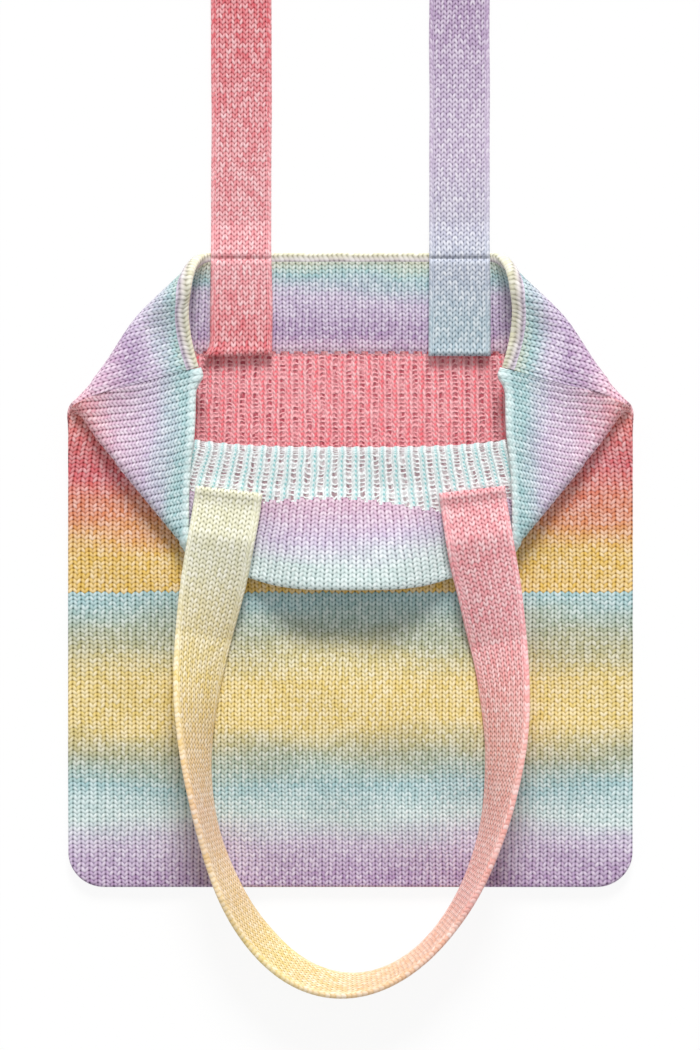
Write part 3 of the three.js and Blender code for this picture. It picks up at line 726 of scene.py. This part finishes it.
def make_strap(name, route, loop_side, top_at, finishes, seed, tuft, droop, crease_at):
    """A strap along its route.

    It rests on what is under it and sags no steeper than its drape slope. A tuft pulls out the corner at its
    start, its ends droop, and a crease marks what it bends over.
    """
    places, tilt, widths = route
    run = run_lengths(places)
    heading = np.gradient(places, axis=0)
    heading /= np.linalg.norm(heading, axis=1, keepdims=True)
    outward = np.stack([-heading[:, 1], heading[:, 0]], -1) * loop_side
    reach = np.linspace(0, 1, FOOTPRINT_STEPS + 1) * widths[:, None]
    offset = (reach - widths[:, None] / 2) * np.cos(tilt)[:, None]
    under_x = places[:, :1] + outward[:, :1] * offset
    under_y = places[:, 1:] + outward[:, 1:] * offset
    contact = (top_at(under_x, under_y) + CLEARANCE - reach * np.sin(tilt)[:, None]).max(1)
    rest = (contact[None, :] - DRAPE_SLOPE * np.abs(run[:, None] - run[None, :])).max(1)
    edge = STRAP_THICKNESS / 2
    centre_z = rest + (widths / 2 - edge) * np.sin(tilt) + edge

    length = run[-1]
    inner = np.linspace(EDGE_STEPS[-1], length - EDGE_STEPS[-1], int(length / STRAP_ROW_STEP))
    stops = np.concatenate([EDGE_STEPS[:-1], inner, length - EDGE_STEPS[-2::-1]])
    if crease_at > 0:
        creased = crease_at + CREASE_ROWS
        stops = np.union1d(stops, np.concatenate([creased, length - creased]))

    def at(values):
        return np.interp(stops, run, values)

    centre = np.stack([at(places[:, 0]), at(places[:, 1]), at(centre_z)], -1)
    turn = at(tilt)
    out = np.stack([at(outward[:, 0]), at(outward[:, 1]), np.zeros(len(stops))], -1)
    width = out * np.cos(turn)[:, None] + np.array([0, 0, 1]) * np.sin(turn)[:, None]
    half_width = STRAP_WIDTH / 2
    flat_part = half_width - EDGE_STEPS[-1]
    side = np.concatenate([
        -half_width + EDGE_STEPS[:-1],
        np.arange(-flat_part, flat_part, STRAP_WALE / STRAP_COLUMNS_A_WALE),
        half_width - EDGE_STEPS[::-1],
    ])
    across, along = np.meshgrid(side, stops)
    wobble = waves(seed, count=8, longest=120, shortest=18)
    shift = STRAP_WOBBLE * wobble(along, across * WOBBLE_ACROSS)
    at_corner = ease(across, half_width * CORNER_TUFT_START, half_width)
    pulled = tuft * np.exp(-((along / CORNER_TUFT_LENGTH) ** 2)) * at_corner
    from_centre = across * at(widths)[:, None] / STRAP_WIDTH + shift + pulled
    middle = centre[:, None, :] + width[:, None, :] * from_centre[..., None]
    ends = np.minimum(along, length - along)
    relief = STRAP_RELIEF * wale_relief(across, STRAP_WALE)
    crease = CREASE_DEPTH * np.exp(-(((ends - crease_at) / CREASE_LENGTH) ** 2)) * (crease_at > 0)
    rounded = round_edge(half_width - np.abs(across), STRAP_SIDE_ROUNDING)
    rounded = rounded * round_edge(ends, STRAP_END_ROUNDING)
    roll = END_ROLL * np.exp(-(((ends - END_ROLL_PLACE) / END_ROLL_LENGTH) ** 2))
    slant = np.where(along < length / 2, END_SLANT * across / half_width, 0)
    hang = np.exp(-((ends / END_DROOP_LENGTH) ** 2)) * (1 + slant)
    middle[..., 1] -= droop * hang
    half = edge + relief - crease + roll
    finish = np.where(np.abs(across) > half_width - STRAP_EDGE, 1, 0)
    order = slice(None, None, -1 if loop_side > 0 else 1)
    fabric = np.stack([across, along], -1)
    stitch = np.stack([across / STRAP_WALE, along / STRAP_COURSE], -1)
    chain = np.stack([(half_width - np.abs(across)) / STRAP_EDGE, along / STRAP_COURSE], -1)
    return closed_sheet(
        name, middle[:, order], half[:, order], half[:, order], rounded[:, order], np.zeros_like(half),
        fabric[:, order], stitch[:, order], chain[:, order], finish[:, order], finish[:, order], finishes,
    )


# Finishes

def linear(colour):
    """Linear colour of an sRGB hex value."""
    parts = [int(colour[i:i + 2], 16) / 255 for i in (1, 3, 5)]
    return [p / 12.92 if p <= 0.04045 else ((p + 0.055) / 1.055) ** 2.4 for p in parts] + [1]


def add(tree, kind, inputs=(), out=0, stops=(), **settings):
    """Adds a node with its settings and links, and gives one of its outputs."""
    made = tree.nodes.new("ShaderNode" + kind)
    for key, value in settings.items():
        setattr(made, key, value)
    for count, (place, colour) in enumerate(stops):
        elements = made.color_ramp.elements
        element = elements[count] if count < len(elements) else elements.new(place)
        element.position = place
        element.color = linear(colour)
    for key, value in inputs.items() if isinstance(inputs, dict) else enumerate(inputs):
        if isinstance(value, bpy.types.NodeSocket):
            tree.links.new(value, made.inputs[key])
        else:
            made.inputs[key].default_value = value
    return made.outputs[out]


# Stitches as they are drawn. Slants, wanders and flecks are counted in wales and courses, so their scale
# comes from the size of a stitch in mm. The yarn's plies and fibres are too fine to show in the render, so
# each leg of a V is drawn as one plain stroke, and the flecks are as coarse as a stitch
LEG_SLANT = 0.6
WANDER_STITCHES = 6.25
WALE_WANDER = 0.5
COURSE_WANDER = 1.2
GROOVE_START = 0.5
HEART_END = 0.15
LEG_TONE = 0.14
LEG_SHADE = 0.1
FLECK_WALES = 1.25
FLECK_COURSE_STEP = 1.7
LEG_FLECK = 0.6
# Painted highlight: how much less pale mix the gaps and grooves get than the crowns of the legs
CROWN_HIGHLIGHT = 0.35
GAP_HEIGHT = 0.6
FLECK_RANGE = (0.3, 1.15)
SHADE_DEPTH = 0.75

# Clouds of dye in the yarn, in mm, which are wide along a course
DYE_CLOUD_WIDTH = 90.909
DYE_CLOUD_HEIGHT = 28.5714

# Ladder knit, in mm and in shares of its pitch
LADDER_WANDER_LENGTH = 11.1111
LADDER_WANDER = 0.25
LADDER_COLUMNS = 3
RUNG_BOW = 0.8
RUNG_WANDER = 2.5
LADDER_LINE = (0.04, 0.1)
THIN_LEGS = (0.17, 0.26)
THIN_SHARE = 0.7
RUNGS = (0.27, 0.36)
RUNG_GAP = (0.1, 0.28)
SHALLOWEST_HOLE = 0.35
LADDER_FLECK = 0.5
LADDER_BUMP = 0.5

# Sockets of a node that mixes two colours
SHARE, FIRST, SECOND, MIXED = 0, 6, 7, 2


def stockinette():
    """Stockinette: columns of V stitches, with a small hole at each course beside and within each column. Its
    dark output is painted shade in the grooves and in the holes.
    """
    tree = bpy.data.node_groups.new("stockinette", "ShaderNodeTree")
    # groove and hole set how much painted shade goes along the grooves and into the holes, and heart how much
    # of it the middle of a column gets
    for name in ("across", "along", "groove", "hole", "heart"):
        tree.interface.new_socket(name, in_out="INPUT", socket_type="NodeSocketFloat")
    for name in ("dark", "height", "slip", "fleck_and_highlight"):
        tree.interface.new_socket(name, in_out="OUTPUT", socket_type="NodeSocketFloat")
    given = tree.nodes.new("NodeGroupInput").outputs
    place = add(tree, "CombineXYZ", [given["across"], given["along"]])
    wander = add(tree, "TexNoise", {"Vector": place, "Scale": 1 / WANDER_STITCHES, "Detail": 2})
    across = add(tree, "Math", [wander, WALE_WANDER, given["across"]], operation="MULTIPLY_ADD")
    along = add(tree, "Math", [wander, COURSE_WANDER, given["along"]], operation="MULTIPLY_ADD")

    # From 0 in the middle of a wale to 1 in the groove beside it, and from 0 on a leg to 1 between two legs
    from_groove = add(tree, "Math", [across, 0.5], operation="PINGPONG")
    side = add(tree, "Math", [from_groove, -2, 1], operation="MULTIPLY_ADD")
    slanted = add(tree, "Math", [side, -LEG_SLANT, along], operation="MULTIPLY_ADD")
    from_gap = add(tree, "Math", [slanted, 0.5], operation="PINGPONG")
    between = add(tree, "Math", [from_gap, -2, 1], operation="MULTIPLY_ADD")
    gap = add(tree, "Math", [between, 2], operation="POWER")
    in_groove = {"Value": side, "From Min": GROOVE_START}
    in_groove = add(tree, "MapRange", in_groove, interpolation_type="SMOOTHSTEP")
    in_heart = {"Value": side, "From Max": GROOVE_START, "To Min": given["heart"], "To Max": HEART_END}
    in_heart = add(tree, "MapRange", in_heart, interpolation_type="SMOOTHSTEP")

    # Painted shade: darker all along the grooves, and darkest in the holes between legs, beside each column
    # and in its middle
    open_share = add(tree, "Math", [in_groove, in_heart], operation="MAXIMUM")
    hole = add(tree, "Math", [open_share, given["hole"]], operation="MULTIPLY")
    groove = add(tree, "Math", [open_share, given["groove"]], operation="MULTIPLY")
    dark = add(tree, "Math", [hole, gap, groove], operation="MULTIPLY_ADD")

    # Every leg differs a little, and the yarn's pale flecks run on along a course
    course = add(tree, "Math", [slanted], operation="FLOOR")
    slip = add(tree, "Math", [course, given["along"]], operation="SUBTRACT")
    leg = add(tree, "Math", [across, 2], operation="MULTIPLY")
    leg = add(tree, "Math", [leg], operation="FLOOR")
    spot = add(tree, "CombineXYZ", [leg, course])
    own = add(tree, "TexWhiteNoise", [spot], noise_dimensions="2D")
    dark = add(tree, "Math", [own, -LEG_TONE, dark], operation="MULTIPLY_ADD")
    dark = add(tree, "Math", [dark, LEG_SHADE], operation="ADD", use_clamp=True)
    yarn = add(tree, "CombineXYZ", [across, course])
    yarn_scale = (1 / FLECK_WALES, FLECK_COURSE_STEP, 1)
    yarn = add(tree, "VectorMath", [yarn, yarn_scale], operation="MULTIPLY")
    marl = add(tree, "TexNoise", {"Vector": yarn, "Scale": 1, "Detail": 2, "Roughness": 0.7})
    fleck_and_highlight = add(tree, "Math", [own, LEG_FLECK, marl], operation="MULTIPLY_ADD")
    # Painted highlight: the pale mix falls off in the gaps and grooves, so the crowns of the legs read
    # lighter
    hollow = add(tree, "Math", [gap, in_groove], operation="MAXIMUM")
    fleck_and_highlight = add(tree, "Math", [hollow, -CROWN_HIGHLIGHT, fleck_and_highlight], operation="MULTIPLY_ADD")

    bulge = add(tree, "Math", [side, 2], operation="POWER")
    height = add(tree, "Math", [gap, GAP_HEIGHT, bulge], operation="MULTIPLY_ADD")
    height = add(tree, "Math", [1, height], operation="SUBTRACT")
    result = tree.nodes.new("NodeGroupOutput")
    for name, value in (("dark", dark), ("height", height), ("slip", slip), ("fleck_and_highlight", fleck_and_highlight)):
        tree.links.new(value, result.inputs[name])
    return tree


STITCHES = stockinette()


def finish_yarn(tree, colour, relief):
    """Matt cotton yarn: no gloss, and a faint bloom of loose fibres at a low angle."""
    shader = tree.nodes["Principled BSDF"]
    tree.links.new(colour, shader.inputs["Base Color"])
    tree.links.new(relief, shader.inputs["Normal"])
    shader.inputs["Roughness"].default_value = 0.9
    shader.inputs["Specular IOR Level"].default_value = 0.2
    shader.inputs["Sheen Weight"].default_value = 0.2
    shader.inputs["Sheen Roughness"].default_value = 0.5


def shade_yarn(tree, colour, knit, fleck_and_highlight):
    """Colour of marled yarn with its pale flecks and a painted highlight on the crowns of its legs, and a
    deeper tone of it as painted shade where stitches shade each other.
    """
    twice = {SHARE: 1.0, FIRST: colour, SECOND: colour}
    deep = add(tree, "Mix", twice, out=MIXED, data_type="RGBA", blend_type="MULTIPLY")
    shaded = {SHARE: SHADE_DEPTH, FIRST: deep, SECOND: linear("#000000")}
    deep = add(tree, "Mix", shaded, out=MIXED, data_type="RGBA")
    least, most = FLECK_RANGE
    pale = {"Value": knit["fleck_and_highlight"], "From Min": least, "From Max": most, "To Max": fleck_and_highlight}
    pale = add(tree, "MapRange", pale)
    flecked = {SHARE: pale, FIRST: colour, SECOND: linear("#ffffff")}
    colour = add(tree, "Mix", flecked, out=MIXED, data_type="RGBA")
    return add(tree, "Mix", {SHARE: knit["dark"], FIRST: colour, SECOND: deep}, out=MIXED, data_type="RGBA")


def yarn_material(name, bands, course, groove=0.27, hole=1.0, heart=0.6, fleck_and_highlight=0.42, drift=8, bump=0.4):
    """Soft marled cotton yarn, knitted in stockinette and dyed in long runs.

    To the eye it is matt, in columns of Vs with pale flecks, painted highlights on the legs and painted shade
    in the holes and grooves, and its colours melt into each other up the knit. bands holds one or two runs of
    dye, each as the height where it ends and its colours.
    Where one ends, the next begins on a course, as a knitter changes yarn. The chain edges are the same yarn,
    with each link of the chain drawn as one stitch.
    """
    material = bpy.data.materials.new(name)
    material.use_nodes = True
    tree = material.node_tree
    fabric = add(tree, "UVMap", uv_map="fabric")
    stitch = add(tree, "SeparateXYZ", [add(tree, "UVMap", uv_map="stitch")]).node.outputs
    sockets = {"across": stitch[0], "along": stitch[1], "groove": groove, "hole": hole, "heart": heart}
    knit = add(tree, "Group", sockets, node_tree=STITCHES).node.outputs
    height = add(tree, "SeparateXYZ", [fabric], out=1)
    height = add(tree, "Math", [knit["slip"], course, height], operation="MULTIPLY_ADD")

    cloud_scale = (1 / DYE_CLOUD_WIDTH, 1 / DYE_CLOUD_HEIGHT, 0)
    stretched = add(tree, "VectorMath", [fabric, cloud_scale], operation="MULTIPLY")
    cloud = add(tree, "TexNoise", {"Vector": stretched, "Scale": 1, "Detail": 3})

    # The noise keeps near 0.5, so the dye drifts both ways by about its drift in mm
    cloud = add(tree, "Math", [cloud, 4 * drift, -2 * drift], operation="MULTIPLY_ADD")
    place = add(tree, "Math", [height, cloud], operation="ADD")
    colour = None
    start = 0
    for end, colours in bands:
        share = add(tree, "MapRange", {"Value": place, "From Min": start, "From Max": end})
        stops = [((at - start) / (end - start), hex_value) for at, hex_value in colours]
        dyed = add(tree, "ValToRGB", [share], stops=stops)
        if colour is None:
            colour = dyed
        else:
            changed = add(tree, "Math", [height, start], operation="GREATER_THAN")
            runs = {SHARE: changed, FIRST: colour, SECOND: dyed}
            colour = add(tree, "Mix", runs, out=MIXED, data_type="RGBA")
        start = end

    colour = shade_yarn(tree, colour, knit, fleck_and_highlight)
    relief = add(tree, "Bump", {"Strength": 1.0, "Distance": bump * MM, "Height": knit["height"]})
    finish_yarn(tree, colour, relief)
    return material


def ladder_material(name, yarn, line, thin, gap):
    """The same cotton in a ladder knit, as the inside shows below the hem.

    To the eye it is a rib of two columns with a line between them, then a column of loose, paler rungs with
    holes darkened by painted shade. yarn is its colour, line the line's, thin that of stretched yarn and gap
    the colour of the painted shade in the holes.
    """
    material = bpy.data.materials.new(name)
    material.use_nodes = True
    tree = material.node_tree
    fabric = add(tree, "UVMap", uv_map="fabric")
    across, along = add(tree, "SeparateXYZ", [fabric]).node.outputs[:2]
    wander = add(tree, "TexNoise", {"Vector": fabric, "Scale": 1 / LADDER_WANDER_LENGTH, "Detail": 2})
    unit = add(tree, "Math", [across, 1 / LADDER_PITCH, 0.5], operation="MULTIPLY_ADD")
    unit = add(tree, "Math", [wander, LADDER_WANDER, unit], operation="MULTIPLY_ADD")
    course = add(tree, "Math", [along, 1 / LADDER_COURSE], operation="MULTIPLY")
    column = add(tree, "Math", [unit, LADDER_COLUMNS, 0.5], operation="MULTIPLY_ADD")
    # The stitches bring a light painted shade into the ladder's grooves and holes
    sockets = {"across": column, "along": course, "groove": 0.1, "hole": 0.35, "heart": 0.4}
    knit = add(tree, "Group", sockets, node_tree=STITCHES).node.outputs
    dyed = add(tree, "RGB")
    dyed.default_value = linear(yarn)
    colour = shade_yarn(tree, dyed, knit, LADDER_FLECK)

    # From 0 on the line in the middle of a rib to 0.5 in the middle of a column of rungs
    from_line = add(tree, "Math", [unit, 0.5], operation="PINGPONG")
    knot = add(tree, "Math", [course, 0.5], operation="PINGPONG")
    near, far = LADDER_LINE
    on_line = {"Value": from_line, "From Min": near, "From Max": far, "To Min": 1, "To Max": 0}
    on_line = add(tree, "MapRange", on_line)
    on_line = add(tree, "Math", [on_line, knot], operation="MULTIPLY")
    on_line = add(tree, "Math", [on_line, 2], operation="MULTIPLY", use_clamp=True)
    lined = {SHARE: on_line, FIRST: colour, SECOND: linear(line)}
    colour = add(tree, "Mix", lined, out=MIXED, data_type="RGBA")

    # The legs beside the rungs are stretched thin, so they are paler, as the rungs are
    near, far = THIN_LEGS
    stretched = {"Value": from_line, "From Min": near, "From Max": far, "To Max": THIN_SHARE}
    stretched = add(tree, "MapRange", stretched)
    thinned = {SHARE: stretched, FIRST: colour, SECOND: linear(thin)}
    colour = add(tree, "Mix", thinned, out=MIXED, data_type="RGBA")
    bow = add(tree, "Math", [from_line, -RUNG_BOW, course], operation="MULTIPLY_ADD")
    bow = add(tree, "Math", [wander, RUNG_WANDER, bow], operation="MULTIPLY_ADD")
    from_rung = add(tree, "Math", [bow, 0.5], operation="PINGPONG")
    near, far = RUNG_GAP
    between = {"Value": from_rung, "From Min": near, "From Max": far}
    between = add(tree, "MapRange", between, interpolation_type="SMOOTHSTEP")
    near, far = RUNGS
    in_rungs = add(tree, "MapRange", {"Value": from_line, "From Min": near, "From Max": far})
    cell = add(tree, "Math", [unit, 0.5], operation="ADD")
    cell = add(tree, "Math", [cell], operation="FLOOR")
    row = add(tree, "Math", [bow], operation="FLOOR")
    spot = add(tree, "CombineXYZ", [cell, row])
    own = add(tree, "TexWhiteNoise", [spot], noise_dimensions="2D")
    # Painted shade in the holes between the rungs, darker in some holes than in others
    deep = add(tree, "MapRange", {"Value": own, "To Min": SHALLOWEST_HOLE, "To Max": 1})
    hole = add(tree, "Math", [between, in_rungs], operation="MULTIPLY")
    hole = add(tree, "Math", [hole, deep], operation="MULTIPLY")
    pierced = {SHARE: hole, FIRST: colour, SECOND: linear(gap)}
    colour = add(tree, "Mix", pierced, out=MIXED, data_type="RGBA")
    height = add(tree, "Math", [knit["height"], hole], operation="SUBTRACT")
    relief = add(tree, "Bump", {"Strength": 1.0, "Distance": LADDER_BUMP * MM, "Height": height})
    finish_yarn(tree, colour, relief)
    return material


# Dye colours of the yarn, shared by all four pieces
LILAC = "#bf9fc8"
PALE_LILAC = "#dccbe6"
ROSE = "#ecc2da"
PINK = "#fba6ad"
# A warm salmon pink, partly the yarn's dye and partly painted light: made lighter to brighten the right side
# of the front strap's loop, which stands tilted into shade
SHELL = "#ffb3a8"
CORAL = "#ee6f78"
SALMON = "#ee8880"
ORANGE = "#f09a66"
PEACH = "#fdcf9c"
GOLD = "#f9cf66"
YELLOW = "#fbe08a"
CREAM = "#f0edcc"
SAGE = "#c0c3a0"
AQUA = "#b4d9dc"
MIST = "#b8cdd9"
PALE_AQUA = "#e2f4f2"

# Each run of yarn ends at a height, or a length of strap, and holds the places in mm where a dye is fullest
YARN_CHANGE = 200
STRAP_RUN = 772
FRONT_LOWER_DYE = (YARN_CHANGE, (
    (6, LILAC), (28, PALE_LILAC), (47, PALE_AQUA), (68, AQUA), (90, SAGE), (112, YELLOW), (138, YELLOW),
    (168, SAGE), (196, AQUA),
))
FRONT_UPPER_DYE = (BAG_HEIGHT, (
    (224, GOLD), (250, ORANGE), (283, CORAL), (318, SALMON), (340, PINK), (362, ROSE), (394, PALE_LILAC),
    (415, AQUA),
))
FRONT_HEM_DYE = (BAG_HEIGHT, ((370, ROSE), (396, PALE_LILAC), (412, PALE_AQUA)))
FRONT_LIP_DYE = (BAG_HEIGHT, ((422, AQUA), (430, PALE_AQUA)))
BACK_DYE = (BAG_HEIGHT, (
    (5, LILAC), (58, AQUA), (125, YELLOW), (190, AQUA), (225, GOLD), (290, CORAL), (335, PINK), (364, ROSE),
    (388, LILAC), (402, PALE_LILAC), (416, AQUA), (430, CREAM),
))
BACK_HEM_DYE = (BAG_HEIGHT, ((362, ROSE), (374, LILAC), (398, PALE_LILAC), (412, AQUA), (427, CREAM)))
BACK_LIP_DYE = (BAG_HEIGHT, ((422, PALE_LILAC), (429, CREAM)))
FRONT_STRAP_DYE = (STRAP_RUN, (
    (0, CREAM), (50, CREAM), (130, YELLOW), (220, PEACH), (330, YELLOW), (410, PEACH), (490, SHELL),
    (600, SHELL), (680, PINK),
))
BACK_STRAP_DYE = (STRAP_RUN, (
    (0, CORAL), (60, PINK), (230, CORAL), (520, LILAC), (640, PALE_LILAC), (750, MIST),
))

front_finishes = [
    yarn_material("cotton stockinette, front outside", [FRONT_LOWER_DYE, FRONT_UPPER_DYE], COURSE),
    yarn_material("cotton stockinette, front hem", [FRONT_HEM_DYE], COURSE),
    # Its gap colour is painted shade in the ladder's holes
    ladder_material(
        "cotton ladder knit, aqua", yarn="#e2f2f2", line="#86cfd0", thin="#ffffff", gap="#a5868c"
    ),
    yarn_material("cotton chain edge, aqua", [FRONT_LIP_DYE], 0, groove=0.16, hole=0.3, drift=0),
]
back_finishes = [
    yarn_material("cotton stockinette, back outside", [BACK_DYE], COURSE),
    yarn_material("cotton stockinette, back hem", [BACK_HEM_DYE], COURSE),
    # Its gap colour is painted shade in the ladder's holes
    ladder_material(
        "cotton ladder knit, coral", yarn="#ff8d96", line="#f4636f", thin="#ffb8bd", gap="#b84a58"
    ),
    yarn_material("cotton chain edge, cream", [BACK_LIP_DYE], 0, groove=0.3, hole=0.6, heart=0.9, drift=0),
]

# The straps are knitted tighter: their grooves are shallow and get little painted shade, and painted shade
# marks holes within their Vs and beside them
STRAP_LOOK = {"groove": 0.1, "hole": 1.0, "heart": 0.85, "fleck_and_highlight": 0.5, "drift": 5}
STRAP_EDGE_LOOK = {"groove": 0.1, "hole": 0.35}
front_strap_finishes = [
    yarn_material("cotton strap knit, yellow to pink", [FRONT_STRAP_DYE], STRAP_COURSE, **STRAP_LOOK),
    yarn_material("cotton chain edge, yellow to pink", [FRONT_STRAP_DYE], 0, fleck_and_highlight=0.5, **STRAP_EDGE_LOOK),
]
back_strap_finishes = [
    yarn_material("cotton strap knit, coral to lilac", [BACK_STRAP_DYE], STRAP_COURSE, **STRAP_LOOK),
    yarn_material("cotton chain edge, coral to lilac", [BACK_STRAP_DYE], 0, fleck_and_highlight=0.4, **STRAP_EDGE_LOOK),
]

# The four pieces

front_panel = make_front_panel(front_finishes)
back_panel = make_back_panel(back_finishes)
front_handle = make_strap(
    "knitted_front_handle", front_route(), -1, front_top, front_strap_finishes,
    seed=5, tuft=0, droop=0, crease_at=0,
)
back_handle = make_strap(
    "knitted_back_handle", back_route(), 1, back_top, back_strap_finishes,
    seed=9, tuft=CORNER_TUFT, droop=END_DROOP, crease_at=CREASE_PLACE,
)
strap_length = run_lengths(front_route()[0])[-1]

for piece, node, flat in (
    (front_panel, "front_panel", (BAG_WIDTH, BAG_HEIGHT)),
    (back_panel, "back_panel", (BAG_WIDTH, BAG_HEIGHT)),
    (front_handle, "front_handle", (STRAP_WIDTH, strap_length)),
    (back_handle, "back_handle", (STRAP_WIDTH, strap_length)),
):
    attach(piece, "root")
    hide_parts(node)

# Floor, light and camera

FLOOR_SIZE = 8
BACKDROP_SHARE = 0.9
SKY_STRENGTH = 0.53
KEY_FROM = (0.05, 1, 0.7)
KEY_STRENGTH = 2.85
KEY_ANGLE = 20
PHOTO_HEIGHT = 712.5
PHOTO_MIDDLE = (-0.3, 30.5)
CAMERA_HEIGHT = 6000
SENSOR_HEIGHT = 36

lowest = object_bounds()[0].z
bpy.ops.mesh.primitive_plane_add(size=FLOOR_SIZE, location=(0, 0, lowest))
floor = bpy.context.object
floor.name = "floor"

# White card, pressed smooth and uncoated: matt, and seen as plain white with a faint shadow of the bag on it
paper = bpy.data.materials.new("white card, matt")
paper.use_nodes = True
card = paper.node_tree.nodes["Principled BSDF"]
card.inputs["Base Color"].default_value = linear("#fcfcfc")
card.inputs["Roughness"].default_value = 0.95
card.inputs["Specular IOR Level"].default_value = 0.1
seen = add(paper.node_tree, "LightPath", out="Is Camera Ray")
mirrored = add(paper.node_tree, "LightPath", out="Is Glossy Ray")
seen_through = add(paper.node_tree, "LightPath", out="Is Transmission Ray")
seen = add(paper.node_tree, "Math", [seen, mirrored], operation="MAXIMUM")
seen = add(paper.node_tree, "Math", [seen, seen_through], operation="MAXIMUM")
white_share = add(paper.node_tree, "Math", [seen, BACKDROP_SHARE], operation="MULTIPLY")
glow = add(paper.node_tree, "Emission", {"Color": linear("#ffffff"), "Strength": 1.0})
backdrop = add(paper.node_tree, "MixShader", [white_share, card.outputs[0], glow])
paper.node_tree.links.new(backdrop, paper.node_tree.nodes["Material Output"].inputs["Surface"])
floor.data.materials.append(paper)

scene = bpy.context.scene
world = bpy.data.worlds.new("studio")
scene.world = world
world.use_nodes = True
world.node_tree.nodes["Background"].inputs["Color"].default_value = (1, 1, 1, 1)
world.node_tree.nodes["Background"].inputs["Strength"].default_value = SKY_STRENGTH

# Plain light from all round and a wide window beyond the bag's top add up to about 1 on level cloth
key = bpy.data.lights.new("window light", "SUN")
key.energy = KEY_STRENGTH
key.angle = math.radians(KEY_ANGLE)
window = bpy.data.objects.new("window light", key)
window.rotation_mode = "QUATERNION"
window.rotation_quaternion = (-Vector(KEY_FROM)).to_track_quat("-Z", "Y")
scene.collection.objects.link(window)

# The camera looks straight down
lens = bpy.data.cameras.new("camera")
lens.lens = SENSOR_HEIGHT * CAMERA_HEIGHT / PHOTO_HEIGHT
camera = bpy.data.objects.new("camera", lens)
camera.location = (PHOTO_MIDDLE[0] * MM, PHOTO_MIDDLE[1] * MM, CAMERA_HEIGHT * MM)
scene.collection.objects.link(camera)
scene.camera = camera
scene.view_settings.view_transform = "Standard"
